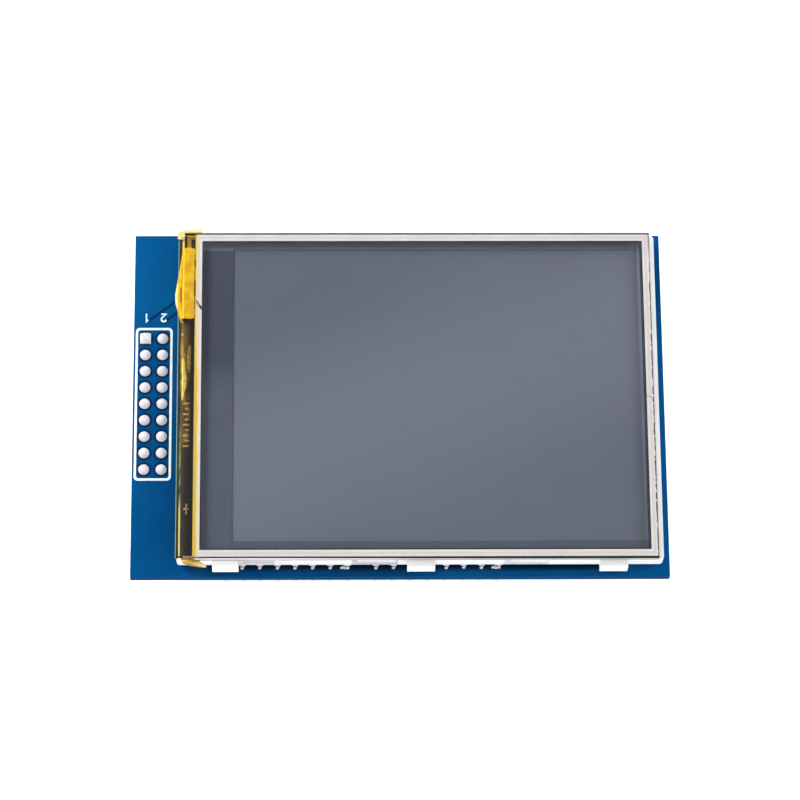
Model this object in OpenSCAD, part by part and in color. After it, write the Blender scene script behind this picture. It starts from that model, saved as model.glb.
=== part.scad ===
// Display shield: a touch-screen display module on a circuit board with five pin headers.
// Millimetres. X runs along the board, Y across it, Z up out of the screen.
// The origin is below the middle of the board, at the level of the header pin tips.

/* [Circuit board] */
// Length of the board
board_l = 78; // [76:0.5:90]
// Width of the board
board_w = 53; // [52.5:0.5:60]
// Thickness of the board
board_t = 1.6; // [1.2:0.1:2.4]
// Width of the printed line round the side header
print_line = 0.35; // [0.2:0.01:0.5]
// Distance from the outer pins to the printed line's outer edge at the sides
print_side = 1.45; // [1.3:0.05:1.6]
// Distance from the outer pins to the printed line's outer edge at the ends
print_end = 1.7; // [1.3:0.05:2]
// Corner radius of the printed line
print_r = 0.6; // [0.4:0.1:1]
// Thickness of the print
print_t = 0.03; // [0.02:0.01:0.05]

/* [Pin headers] */
// Pitch of the pins
pitch = 2.54; // [2.54:0.01:2.6]
// Side of a square pin
pin_side = 0.64; // [0.5:0.02:0.66]
// Length of a pin below its plastic body
pin_reach = 6; // [4:0.5:12]
// Length of the taper at the end of a pin
pin_taper = 0.5; // [0.3:0.1:1]
// Height of a header's plastic body
header_h = 2.5; // [2:0.1:4]
// Width of a single row's plastic body
header_w = 2.5; // [2:0.05:2.54]
// Corner cut between two pins of a body
header_cut = 0.5; // [0.2:0.05:0.8]
// Distance from the board's long edges to the pin rows
row_edge = 2.37; // [1.8:0.01:3]
// Distance from the board's left end to the first pins of the rows
row_inset = 13.62; // [12.5:0.1:15]
// Pins in each signal header
signal_pins = 8; // [4:1:8]
// Pins in each supply header
supply_pins = 6; // [3:1:6]
// Distance between the two signal headers' facing pins
signal_gap = 4.06; // [3:0.02:6]
// Distance between the two supply headers' facing pins
supply_gap = 5.08; // [3:0.02:8]
// Rows in the two-column side header
side_rows = 9; // [4:1:9]
// Distance from the board's left end to the middle of the side header
side_inset = 3; // [2.8:0.1:3.2]

/* [Solder] */
// Diameter of the holes that take the pins
hole_d = 1; // [0.95:0.05:1.2]
// Diameter of a solder joint on the board
joint_d = 1.6; // [1.4:0.05:1.8]
// Height of a solder joint of the side header
joint_h = 0.62; // [0.5:0.02:0.8]
// Height of a solder joint under the screen
row_joint_h = 0.8; // [0.6:0.05:0.9]
// How far the solder stands over the cut end of a pin
solder_cover = 0.12; // [0.05:0.01:0.2]

/* [Display frame] */
// Distance from the board's left end to the white frame
frame_strip = 7.7; // [7.5:0.1:9]
// Distance from the board's right end to the frame
frame_inset = 1.1; // [0.8:0.1:1.5]
// Distance from the board's front edge to the frame
frame_front = 1.5; // [1.4:0.1:2]
// Distance from the board's back edge to the frame
frame_back = 1.3; // [1:0.1:2]
// Thickness of the long walls
long_wall = 1.3; // [1.1:0.05:1.5]
// Thickness of the right wall
right_wall = 0.95; // [0.7:0.05:1.2]
// Thickness of the left wall, under the flex
left_wall = 1.1; // [0.8:0.05:1.3]
// Width of the step that carries the glass
step_w = 0.8; // [0.5:0.05:1]
// Corner radius of the frame
frame_r = 0.6; // [0.3:0.1:1]
// Width of a locating tab
tab_w = 4; // [3:0.1:6]
// Width of the first locating tab
tab_first_w = 3.75; // [3:0.05:6]
// How far a tab stands out
tab_out = 1.05; // [0.6:0.05:1.2]
// Distance from the frame's left end to the first tab's middle
tab_left = 6.1; // [5:0.1:8]
// Distance from the frame's right end to the last tab's middle
tab_right = 7.2; // [6:0.1:9]
// Distance of the middle tab from the mean of the outer two
tab_shift = 0.2; // [-2:0.1:2]
// How far the lug at the front left corner stands out
lug_out = 0.9; // [0.5:0.05:1]
// Width of the lug
lug_w = 0.6; // [0.4:0.05:0.6]
// Width of a relief in the front wall
relief_w = 5.6; // [3:0.1:7]
// Depth of a relief
relief_d = 0.35; // [0.1:0.05:0.5]

/* [Backlight] */
// Thickness of the reflector sheet
reflector_t = 0.1; // [0.08:0.01:0.2]
// How far the reflector sheet is stuck over the frame
reflector_lap = 0.6; // [0.3:0.05:0.8]
// Thickness of the light guide
guide_t = 0.5; // [0.4:0.05:0.8]
// Thickness of the diffuser film
diffuser_t = 0.06; // [0.05:0.01:0.1]
// Thickness of each prism film
prism_t = 0.08; // [0.05:0.01:0.12]
// Number of lamps
led_count = 4; // [3:1:6]
// Length of a lamp
led_l = 3.8; // [3:0.1:4]
// Depth of a lamp
led_d = 0.9; // [0.6:0.05:1]
// Thickness of the lamp strip
led_strip_t = 0.1; // [0.08:0.01:0.12]
// Gap round the light guide
guide_gap = 0.1; // [0.05:0.01:0.2]

/* [Liquid crystal cell] */
// Thickness of the tape between backlight and cell
rim_tape_t = 0.05; // [0.04:0.01:0.1]
// Thickness of a polariser
polariser_t = 0.15; // [0.1:0.01:0.2]
// Thickness of each glass plate
plate_t = 0.5; // [0.3:0.05:0.7]
// Distance from the frame's left end to the rear glass plate
cell_inset = 2.1; // [1.9:0.05:2.4]
// Width of the ledge at its left end, with the driver chip
ledge_w = 3.2; // [2.8:0.1:3.6]
// Gap round the glass
glass_gap = 0.05; // [0.02:0.01:0.1]
// Dark border left of the picture window
mask_left = 1.7; // [1:0.1:3]
// Dark border right of the picture window
mask_right = 1.6; // [1:0.1:3]
// Dark border in front of the picture window
mask_front = 1.45; // [0.9:0.05:3]
// Dark border behind the picture window
mask_back = 0.85; // [0.8:0.05:3]
// How far a polariser reaches past the window
polariser_lap = 0.7; // [0.4:0.1:0.75]
// Length of the driver chip
chip_l = 20; // [12:1:24]
// Width of the driver chip
chip_w = 1; // [0.8:0.1:1.2]
// Thickness of the driver chip
chip_t = 0.3; // [0.2:0.05:0.35]

/* [Display flex] */
// Thickness of the flex
flex_t = 0.12; // [0.08:0.01:0.15]
// Width of the frame's front corner beside the flex
corner_w = 0.7; // [0.5:0.05:1.2]
// Gap between that corner and the flex
flex_side_gap = 0.2; // [0.1:0.05:0.4]
// Distance from the flex to the frame's back side
flex_back = 0.15; // [0.05:0.05:0.4]
// Length of the window in the flex at its back corner
window_l = 0.6; // [0.4:0.05:0.8]
// Width of that window
window_w = 1.6; // [1:0.1:2]
// Margin of the tail beside its outer contacts
flex_margin = 1; // [0.5:0.1:2]
// Length of the part stuck to the ledge
flex_bond = 1.2; // [0.8:0.1:1.3]
// Thickness of the solder under the tail
flex_solder_t = 0.1; // [0.05:0.01:0.15]
// How far the tail reaches in under the frame
flex_reach = 9; // [8:0.5:12]
// Number of contacts on the tail
flex_contacts = 37; // [30:1:37]
// Pitch of the contacts
flex_pitch = 0.8; // [0.6:0.05:0.8]
// Width of the foam bar on the flex
foam_w = 0.95; // [0.6:0.05:1]
// Distance from the foam bar's ends to the flex's edges
bar_end = 0.2; // [0:0.05:0.5]
// Thickness of the amber film at the left edge
film_t = 0.06; // [0.04:0.01:0.1]
// How far the film hangs out at the front corner
film_front = 0.98; // [0.6:0.02:1.04]
// How far the film hangs out at the back corner
film_back = 1.15; // [0.8:0.05:1.2]
// How far the film hangs out at the left of the back corner
film_side = 1; // [0.5:0.05:1.1]

/* [Touch panel] */
// How far the touch panel stands out past the frame's left end
touch_over = 0.2; // [0:0.05:0.4]
// Distance from its right edge to the frame's right end
touch_inset = 0.7; // [0.5:0.05:1]
// Distance from its long edges to the frame's long sides
touch_side = 0.05; // [0:0.05:0.3]
// Thickness of the black tape under it
touch_tape_t = 0.2; // [0.15:0.01:0.4]
// Thickness of its glass
touch_glass_t = 1; // [0.7:0.05:1.4]
// Thickness of the spacer ring
spacer_t = 0.08; // [0.06:0.01:0.12]
// Thickness of its top film
touch_film_t = 0.18; // [0.1:0.01:0.25]
// Width of the spacer ring
ring_w = 1; // [0.8:0.05:1.2]
// Width of the spacer ring at the left
ring_left_w = 1; // [0.6:0.05:1.2]
// Distance from the ring to the panel's right edge
ring_edge_x = 0.15; // [0.1:0.05:0.4]
// Distance from the ring to the panel's front edge
ring_edge_front = 0.15; // [0.1:0.05:0.3]
// Distance from the ring to the panel's back edge
ring_edge_back = 0.25; // [0.1:0.05:0.4]
// Distance from the ring to the panel's left edge
ring_edge_left = 1.6; // [1.3:0.05:1.8]
// Width of the vents through the ring
vent_w = 0.12; // [0.1:0.01:0.2]
// Distance from the panel's back edge to the left vent
vent_left_back = 11.5; // [8:0.5:14]
// Distance from the panel's back edge to the right vent
vent_right_back = 25.7; // [20:0.1:30]
// Width of the touch tail
tail_w = 11; // [8:0.5:12]
// Distance from the tail to the back edge of the panel
tail_back = 2.45; // [2:0.1:4]
// Length of the tail inside the panel
tail_in = 1.5; // [1:0.05:1.6]
// Thickness of the yellow tape over the tail
wrap_t = 0.06; // [0.04:0.01:0.08]
// How far the tail stands out past the flex bend
tail_bulge = 0.3; // [0.1:0.02:0.4]

/* [Mounting tape] */
// Thickness of the foam strips between board and frame
foam_t = 1; // [0.95:0.05:1.5]
// Distance from the ends of a foam strip to the frame's long sides
foam_end = 5; // [4:0.5:12]
// Width of a foam strip
strip_w = 8; // [4:0.5:12]
// Distance from the frame's left end to the first strip
strip_left = 15.6; // [13:0.1:24]
// Distance from the frame's right end to the second strip
strip_right = 5.6; // [2:0.1:20]

/* [Card socket] */
// Depth of the socket
socket_l = 14.5; // [13:0.1:16]
// Width of the socket
socket_w = 14; // [13:0.1:15]
// Height of the socket
socket_h = 1.85; // [1.7:0.05:2.4]
// Thickness of its metal cover
cover_t = 0.2; // [0.15:0.01:0.25]
// Thickness of its plastic floor
floor_t = 0.55; // [0.4:0.05:0.6]
// Width of the card slot
slot_w = 11.2; // [11:0.1:11.6]
// Distance from its mouth to the board's right end
socket_inset = 0.4; // [0.2:0.1:2]
// Distance of the socket from the board's middle line
socket_y = 4.5; // [0:0.5:6]
// Number of contacts
contact_count = 8; // [6:1:8]
// Pitch of the contacts
contact_pitch = 1.1; // [1:0.05:1.1]
// Width of a contact
contact_w = 0.5; // [0.3:0.05:0.6]
// Thickness of a contact
contact_t = 0.15; // [0.1:0.01:0.2]

/* [Chips on the back] */
// Thickness of a soldering pad
pad_t = 0.04; // [0.03:0.01:0.06]
// Length of a level shifter's body
shifter_l = 6.5; // [6.5:0.1:7]
// Width of a level shifter's body
shifter_w = 4.4; // [4:0.1:5]
// Height of a level shifter's body
shifter_h = 1; // [0.8:0.05:1.2]
// Leads on each side of a level shifter
shifter_leads = 10; // [7:1:10]
// Pitch of its leads
shifter_pitch = 0.65; // [0.6:0.01:0.65]
// Distance of the first level shifter from the middle of the board
shifter_x = -12; // [-14:1:-8]
// Distance between the level shifters
shifter_gap = 13; // [10:1:16]
// Distance of the level shifters from the middle line
shifter_y = -8; // [-12:1:-6]
// Length of the regulator's body
reg_l = 6.5; // [6:0.1:7]
// Width of the regulator's body
reg_w = 3.5; // [3.3:0.1:4]
// Height of the regulator's body
reg_h = 1.6; // [1.4:0.1:1.8]
// Place of the regulator along the board
reg_x = -5; // [-10:1:0]
// Place of the regulator across the board
reg_y = 10; // [9:1:14]
// Length of a chip resistor
res_l = 1.6; // [1.6:0.1:2]
// Width of a chip resistor
res_w = 0.8; // [0.7:0.1:1]
// Height of a chip resistor
res_h = 0.45; // [0.4:0.05:0.6]
// Length of a chip capacitor
cap_l = 2; // [1.6:0.1:2.2]
// Width of a chip capacitor
cap_w = 1.25; // [0.8:0.05:1.3]
// Height of a chip capacitor
cap_h = 0.9; // [0.6:0.05:1.2]
// Length of a moulded capacitor
tant_l = 3.2; // [3:0.1:3.6]
// Width of a moulded capacitor
tant_w = 1.6; // [1.4:0.1:1.8]
// Height of a moulded capacitor
tant_h = 1.6; // [1.2:0.1:1.8]

/* [Hidden] */
round_fn = 48;

// heights, from the pin tips up
board_bot = pin_reach + header_h;
board_top = board_bot + board_t;
frame_bot = board_top + foam_t;
guide_z = frame_bot + reflector_t;
films_z = guide_z + guide_t;
step_z = films_z + diffuser_t + 2 * prism_t;
rear_pol_z = step_z + rim_tape_t;
array_z = rear_pol_z + polariser_t;
filter_z = array_z + plate_t;
front_pol_z = filter_z + plate_t;
frame_top = front_pol_z + polariser_t;
touch_z = frame_top + touch_tape_t;
spacer_z = touch_z + touch_glass_t;
touch_film_z = spacer_z + spacer_t;

// plan of the display
frame_left = frame_strip - board_l / 2;
frame_right = board_l / 2 - frame_inset;
frame_l = frame_right - frame_left;
frame_mid = (frame_left + frame_right) / 2;
frame_lo = frame_front - board_w / 2;
frame_hi = board_w / 2 - frame_back;
frame_w = frame_hi - frame_lo;
frame_y = (frame_lo + frame_hi) / 2;
cell_right = frame_right - right_wall - glass_gap;
cell_left = frame_left + cell_inset;
filter_left = cell_left + ledge_w;
cell_w = frame_w - 2 * long_wall - 2 * glass_gap;
guide_pocket_w = frame_w - 2 * long_wall - 2 * step_w;
guide_pocket_left = frame_left + left_wall;
guide_pocket_right = frame_right - right_wall - step_w;
guide_left = guide_pocket_left + led_d + 2 * guide_gap;
guide_right = guide_pocket_right - guide_gap;
view_left = filter_left + mask_left;
view_right = cell_right - mask_right;
view_lo = frame_y - cell_w / 2 + mask_front;
view_hi = frame_y + cell_w / 2 - mask_back;

// plan of the touch panel
touch_left = frame_left - touch_over;
touch_right = frame_right - touch_inset;
touch_lo = frame_lo + touch_side;
touch_hi = frame_hi - touch_side;
ring_left = touch_left + ring_edge_left;
ring_right = touch_right - ring_edge_x;
ring_lo = touch_lo + ring_edge_front;
ring_hi = touch_hi - ring_edge_back;
tape_left = ring_left + ring_left_w - 0.05;

// bend of the display flex, round the frame's low left wall
flex_lo_z = board_top + flex_solder_t;
flex_hi_z = filter_z;
bend_out = (flex_hi_z + flex_t - flex_lo_z) / 2;
bend_in = bend_out - flex_t;
bend_z = flex_lo_z + bend_out;
bend_x = frame_left + 0.06;
flex_lo = frame_lo + corner_w + flex_side_gap;
flex_hi = frame_hi - flex_back;
flex_tail_w = (flex_contacts - 1) * flex_pitch + 2 * flex_margin;
flex_end = frame_left + flex_reach;
wall_cut_z = filter_z - flex_t;
tail_shoulder = 2;
lug_cut = 0.2;
window_gap = 0.15;
window_back = 0.3;

// header places
row_x = row_inset - board_l / 2;
front_row = row_edge - board_w / 2;
back_row = board_w / 2 - row_edge;
high_x = row_x + (signal_pins - 1) * pitch + signal_gap;
supply_x = row_x + (supply_pins - 1) * pitch + supply_gap;
side_x = side_inset - board_l / 2;
print_l = pitch + 2 * print_side;
print_w = (side_rows - 1) * pitch + 2 * print_end;

// a block from its lowest to its highest corner
module block(lo, hi) translate(lo) cube(hi - lo);

// a flat plate with true round corners, centred in plan
module round_plate(l, w, r, t) linear_extrude(t) {
    square([l - 2 * r, w], center = true);
    square([l, w - 2 * r], center = true);
    for (sx = [-1, 1], sy = [-1, 1])
        translate([sx * (l / 2 - r), sy * (w / 2 - r)]) circle(r, $fn = round_fn);
}

// places of the pins of a header: first pin, count along X, columns and rows for the side header
function row_pins(x, y, n) = [for (i = [0 : n - 1]) [x + i * pitch, y]];
low_pins = row_pins(row_x, front_row, signal_pins);
high_pins = row_pins(high_x, front_row, signal_pins);
analogue_pin_places = row_pins(row_x, back_row, supply_pins);
supply_pin_places = row_pins(supply_x, back_row, supply_pins);
side_pin_places = [for (c = [-0.5, 0.5], r = [0 : side_rows - 1])
    [side_x + c * pitch, (r - (side_rows - 1) / 2) * pitch]];
all_pins = concat(low_pins, high_pins, analogue_pin_places, supply_pin_places, side_pin_places);

// circuit board ------------------------------------------------------------

module circuit_board() color("#0a5a93") difference() {
    translate([0, 0, board_bot]) linear_extrude(board_t) square([board_l, board_w], center = true);
    for (p = all_pins) translate([p[0], p[1], board_bot - 1])
        cylinder(h = board_t + 2, d = hole_d, $fn = round_fn);
}

module header_outline_print() color("white") translate([side_x, 0, board_top]) difference() {
    round_plate(print_l, print_w, print_r, print_t);
    translate([0, 0, -1]) round_plate(print_l - 2 * print_line, print_w - 2 * print_line,
        print_r - print_line / 2, print_t + 2);
}

// headers ------------------------------------------------------------------

// one pin's cell of a plastic body: a block with its four upright edges cut off
module header_cell(w) polygon([
    [-pitch / 2, -w / 2 + header_cut], [-pitch / 2 + header_cut, -w / 2],
    [pitch / 2 - header_cut, -w / 2], [pitch / 2, -w / 2 + header_cut],
    [pitch / 2, w / 2 - header_cut], [pitch / 2 - header_cut, w / 2],
    [-pitch / 2 + header_cut, w / 2], [-pitch / 2, w / 2 - header_cut]]);

module header_body(places) color("#1b1b1d") translate([0, 0, pin_reach]) linear_extrude(header_h)
    difference() {
        for (p = places) translate(p) header_cell(header_w);
        for (p = places) translate(p) square(pin_side, center = true);
    }

module side_header() color("#1b1b1d") translate([0, 0, pin_reach]) linear_extrude(header_h)
    difference() {
        for (r = [0 : side_rows - 1]) translate([side_x, (r - (side_rows - 1) / 2) * pitch])
            rotate(90) header_cell(2 * header_w);
        for (p = side_pin_places) translate(p) square(pin_side, center = true);
    }

// side view of a pin, tapered at both ends
module pin_profile(top) polygon([
    [-pin_side / 4, 0], [pin_side / 4, 0], [pin_side / 2, pin_taper], [pin_side / 2, top - pin_side / 4],
    [pin_side / 4, top], [-pin_side / 4, top], [-pin_side / 2, top - pin_side / 4],
    [-pin_side / 2, pin_taper]]);

module pin(top) intersection() {
    rotate([90, 0, 0]) linear_extrude(pin_side, center = true) pin_profile(top);
    rotate([90, 0, 90]) linear_extrude(pin_side, center = true) pin_profile(top);
}

module pins(places, joint) color("#d8c27a")
    for (p = places) translate(p) pin(board_top + joint - solder_cover);

// solder: a cap on the board and the filled hole, round the pin
module solder_joint(h) {
    cap_r = (joint_d * joint_d / 4 + h * h) / (2 * h);
    difference() {
        rotate_extrude($fn = round_fn) {
            intersection() {
                translate([0, board_top + h - cap_r]) circle(cap_r, $fn = 2 * round_fn);
                translate([0, board_top]) square([joint_d / 2, h]);
            }
            translate([0, board_bot]) square([hole_d / 2, board_t]);
        }
        pin(board_top + h - solder_cover);
    }
}

// the same on a square pad, for a header's first pin
module square_joint(h) {
    reach = 0.72 * joint_d;
    cap_r = (reach * reach + h * h) / (2 * h);
    difference() {
        union() {
            intersection() {
                rotate_extrude($fn = round_fn) intersection() {
                    translate([0, board_top + h - cap_r]) circle(cap_r, $fn = 2 * round_fn);
                    translate([0, board_top]) square([reach, h]);
                }
                translate([0, 0, board_top + h / 2]) cube([joint_d, joint_d, h], center = true);
            }
            translate([0, 0, board_bot]) cylinder(h = board_t, d = hole_d, $fn = round_fn);
        }
        pin(board_top + h - solder_cover);
    }
}

module joints(places, h) color("#d5d8da") for (p = places) translate(p) solder_joint(h);

module side_joints() color("#d5d8da") for (i = [0 : len(side_pin_places) - 1]) translate(side_pin_places[i])
    if (i == side_rows - 1) square_joint(joint_h);
    else solder_joint(joint_h);

// display frame --------------------------------------------------------------

tab_places = [frame_left + tab_left,
    (frame_left + tab_left + frame_right - tab_right) / 2 + tab_shift, frame_right - tab_right];
relief_z = step_z;
tab_widths = [tab_first_w, tab_w, tab_w];
relief_places = [tab_places[0] + tab_w / 2 + 0.5, tab_places[1] - tab_w / 2 - relief_w - 1.6,
    tab_places[1] + tab_w / 2 + 11];

module frame_outline(t) translate([frame_mid, frame_y]) round_plate(frame_l, frame_w, frame_r, t);

module backlight_frame() color("#f4f4f1") difference() {
    translate([0, 0, frame_bot]) union() {
        frame_outline(frame_top - frame_bot);
        for (i = [0 : 2]) translate([tab_places[i], frame_lo, 0])
            block([-tab_widths[i] / 2, -tab_out, 0], [tab_widths[i] / 2, long_wall, frame_top - frame_bot]);
        // lug beside the bend of the flex
        translate([frame_left, frame_lo, 0]) linear_extrude(wall_cut_z - frame_bot) polygon([
            [-lug_out, lug_w], [-lug_out, lug_cut], [lug_cut - lug_out, 0], [frame_r, 0], [frame_r, lug_w]]);
    }
    // pocket for light guide and films
    block([guide_pocket_left, frame_y - guide_pocket_w / 2, frame_bot - 1],
        [guide_pocket_right, frame_y + guide_pocket_w / 2, frame_top + 1]);
    // recess for the reflector sheet
    block([guide_pocket_left - reflector_lap, frame_y - guide_pocket_w / 2 - reflector_lap, frame_bot - 1],
        [guide_pocket_right + reflector_lap, frame_y + guide_pocket_w / 2 + reflector_lap, guide_z]);
    // pocket for the glass, down to the step
    block([cell_left - glass_gap, frame_y - cell_w / 2 - glass_gap, step_z],
        [cell_right + glass_gap, frame_y + cell_w / 2 + glass_gap, frame_top + 1]);
    // low left wall, where the flex goes over it
    block([frame_left - 1, frame_lo + corner_w, wall_cut_z],
        [cell_left + flex_bond + glass_gap, frame_hi + 1, frame_top + 1]);
    // moulded reliefs in the front wall
    for (x = relief_places)
        block([x, frame_lo - 1, relief_z], [x + relief_w, frame_lo + relief_d, frame_top + 1]);
}

module reflector_sheet() color("#e9ecee")
    block([guide_pocket_left - reflector_lap, frame_y - guide_pocket_w / 2 - reflector_lap, frame_bot],
        [guide_pocket_right + reflector_lap, frame_y + guide_pocket_w / 2 + reflector_lap, guide_z]);

guide_half = guide_pocket_w / 2 - guide_gap;

module light_guide() color("#eef4f6")
    block([guide_left, frame_y - guide_half, guide_z], [guide_right, frame_y + guide_half, films_z]);

// a film over the light guide, from its lower to its upper face
module guide_film(z0, z1)
    block([guide_left + guide_gap, frame_y - guide_half, z0], [guide_right, frame_y + guide_half, z1]);

module diffuser_film() color("#f4f7f8") guide_film(films_z, films_z + diffuser_t);
module lower_prism_film() color("#e6eef2")
    guide_film(films_z + diffuser_t, films_z + diffuser_t + prism_t);
module upper_prism_film() color("#e6eef2")
    guide_film(films_z + diffuser_t + prism_t, step_z);

led_pitch = guide_half * 2 / led_count;
led_z = guide_z + led_strip_t;
led_x = guide_pocket_left + guide_gap;

module lamp_strip() color("#e0a93a")
    block([guide_pocket_left, frame_y - guide_half, guide_z], [led_x + led_d, frame_y + guide_half, led_z]);

// side-shining lamps: a white cup with its slanted mouth towards the light guide
module backlight_lamps() color("#f6f2d2")
    for (i = [0 : led_count - 1]) translate([led_x, frame_y + (i - (led_count - 1) / 2) * led_pitch, led_z])
        linear_extrude(guide_t) polygon([[0, -led_l / 2 + 0.2], [led_d, -led_l / 2],
            [led_d, led_l / 2], [0, led_l / 2 - 0.2]]);

// liquid crystal cell --------------------------------------------------------

module rim_tape() color("#17181a") difference() {
    block([guide_left + 2 * guide_gap, frame_y - cell_w / 2, step_z],
        [cell_right, frame_y + cell_w / 2, rear_pol_z]);
    block([view_left, view_lo, step_z - 1], [view_right, view_hi, rear_pol_z + 1]);
}

// a polariser over the picture window, with its lap all round
module polariser(z) block(
    [view_left - polariser_lap, view_lo - polariser_lap, z],
    [view_right + polariser_lap, view_hi + polariser_lap, z + polariser_t]);

module rear_polariser() color("#3d4148") polariser(rear_pol_z);
module front_polariser() color("#6b717f") polariser(front_pol_z);

module array_glass() color("#b9c7c4")
    block([cell_left, frame_y - cell_w / 2, array_z], [cell_right, frame_y + cell_w / 2, filter_z]);

module filter_glass() color("#8d9aa0")
    block([filter_left, frame_y - cell_w / 2, filter_z], [cell_right, frame_y + cell_w / 2, front_pol_z]);

chip_x = (cell_left + flex_bond + filter_left) / 2;

module driver_chip() color("#2b2d31")
    block([chip_x - chip_w / 2, frame_y - chip_l / 2, filter_z],
        [chip_x + chip_w / 2, frame_y + chip_l / 2, filter_z + chip_t]);

// display flex -------------------------------------------------------------

// side view of the flex: on the ledge, round the bend and back over the board
module flex_profile() {
    translate([bend_x, flex_hi_z]) square([cell_left + flex_bond - bend_x, flex_t]);
    translate([bend_x, flex_lo_z]) square([flex_end - bend_x, flex_t]);
    difference() {
        translate([bend_x, bend_z]) circle(bend_out, $fn = 2 * round_fn);
        translate([bend_x, bend_z]) circle(bend_in, $fn = 2 * round_fn);
        translate([bend_x, bend_z - 2 * bend_out]) square(4 * bend_out);
    }
}

module display_flex() color("#3a2f1c") difference() {
    translate([0, flex_hi, 0]) rotate([90, 0, 0]) linear_extrude(flex_hi - flex_lo) flex_profile();
    // narrower tail over the board
    for (side = [[flex_lo - 1, frame_y - flex_tail_w / 2], [frame_y + flex_tail_w / 2, flex_hi + 1]])
        block([frame_left + tail_shoulder, side[0], flex_lo_z - 1],
            [flex_end + 1, side[1], flex_lo_z + 2 * flex_t]);
    // window at the back corner of the flat part
    translate([ring_left - window_gap - window_l, flex_hi - window_back - window_w, flex_hi_z - 1])
        cube([window_l, window_w, flex_t + 2]);
}

module flex_solder() color("#cfd3d6")
    for (i = [0 : flex_contacts - 1])
        translate([flex_end - 2.2, frame_y + (i - (flex_contacts - 1) / 2) * flex_pitch - 0.2, board_top])
            cube([2, 0.4, flex_solder_t]);

module ledge_foam() color("#f0ece0")
    block([tape_left - foam_w, flex_lo + bar_end, flex_hi_z + flex_t],
        [tape_left - 0.02, flex_hi - bar_end, frame_top]);

// amber film over the flex, with slanted ends that hang out at the corners
module edge_film() color("#d9a52a", 0.6) translate([0, 0, frame_top]) linear_extrude(film_t)
    polygon([
        [touch_left + 0.05, frame_lo + 0.2], [touch_left + 0.5, frame_lo - film_front / 3],
        [tape_left + 0.6, frame_lo - film_front], [tape_left + 1.05, frame_lo - film_front + 0.15],
        [tape_left - 0.02, touch_lo], [tape_left - 0.02, frame_hi + film_back],
        [touch_left + 0.5, frame_hi + film_back - 0.1], [touch_left - film_side, frame_hi + film_back / 2],
        [touch_left - film_side, frame_hi - 0.1], [touch_left + 0.05, frame_hi - 0.35]]);

// touch panel --------------------------------------------------------------

module touch_tape() color("#1d1f25") difference() {
    block([tape_left, touch_lo, frame_top], [touch_right, touch_hi, touch_z]);
    block([view_left, view_lo, frame_top - 1], [view_right, view_hi, touch_z + 1]);
}

module touch_glass() color("#c9d6d3", 0.3)
    block([touch_left, touch_lo, touch_z], [touch_right, touch_hi, spacer_z]);

// slanted cut through the ring, centred at x, y
vent_left_slant = -1.2;
vent_right_slant = -0.45;

module vent(x, y, slant) translate([x, y, spacer_z - 1]) linear_extrude(spacer_t + 2) polygon([
    [-ring_w, -ring_w * slant - vent_w / 2], [ring_w, ring_w * slant - vent_w / 2],
    [ring_w, ring_w * slant + vent_w / 2], [-ring_w, -ring_w * slant + vent_w / 2]]);

module spacer_ring() color("#e4e6e0") difference() {
    block([ring_left, ring_lo, spacer_z], [ring_right, ring_hi, touch_film_z]);
    block([ring_left + ring_left_w, ring_lo + ring_w, spacer_z - 1],
        [ring_right - ring_w, ring_hi - ring_w, touch_film_z + 1]);
    vent(ring_left + ring_left_w / 2, touch_hi - vent_left_back, vent_left_slant);
    vent(ring_right - ring_w / 2, touch_hi - vent_right_back, vent_right_slant);
}

module touch_film() color("#dfe6e8", 0.3)
    block([touch_left, touch_lo, touch_film_z], [touch_right, touch_hi, touch_film_z + touch_film_t]);

// The tail leaves the panel's left edge, drops in a loose loop and lands on the bend of the flex.
// Its reach is greatest about two thirds of the way along and dies away to both ends.
tail_hi = touch_hi - tail_back;
tail_lo = tail_hi - tail_w;
tail_mid_z = spacer_z + spacer_t / 2;
tail_steps = 8;
loop_steps = 9;
land_gap = 0.02;
wrap_gap = 0.03;
tail_crest = 0.3;

function lerp(a, b, t) = a + (b - a) * t;
// how far past the panel's left edge the loop stands, for a share u of the way from front to back
function tail_reach(u) = u < tail_crest ?
    lerp(0.3, bend_out - 0.26 + tail_bulge, u / tail_crest) :
    lerp(bend_out - 0.26 + tail_bulge, 0.12, (u - tail_crest) / (1 - tail_crest));
function land_x(u) = min(touch_left - tail_reach(u) + 0.28, bend_x - 0.1);
function land_angle(u) = asin(min(0.97, (bend_x - land_x(u)) / bend_out));
// point and outward normal on the bend, d outside its face
function on_bend(a, d) = [bend_x - (bend_out + d) * sin(a), bend_z + (bend_out + d) * cos(a)];
// a cubic curve through four control points
function cubic(p, t) = pow(1 - t, 3) * p[0] + 3 * t * pow(1 - t, 2) * p[1]
    + 3 * t * t * (1 - t) * p[2] + pow(t, 3) * p[3];
function loop_points(u, d) =
    let (start = [touch_left, tail_mid_z], end = on_bend(land_angle(u), land_gap + spacer_t / 2),
        out = (touch_left - tail_reach(u) - (start[0] + end[0]) / 8) / 0.75,
        guide = [start, [out, tail_mid_z], [out, lerp(tail_mid_z, end[1], 0.6)], end])
    [for (i = [0 : loop_steps]) cubic(guide, i / loop_steps)];
// unit normal to the left of a line of points, at point i
function side_of(pts, i) =
    let (a = pts[max(i - 1, 0)], b = pts[min(i + 1, len(pts) - 1)], d = b - a)
    [d[1], -d[0]] / norm(d);
// closed outline of a band round a line of points, from offset d0 to offset d1
function band(pts, d0, d1) = concat(
    [for (i = [0 : len(pts) - 1]) pts[i] + d0 * side_of(pts, i)],
    [for (i = [len(pts) - 1 : -1 : 0]) pts[i] + d1 * side_of(pts, i)]);

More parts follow.
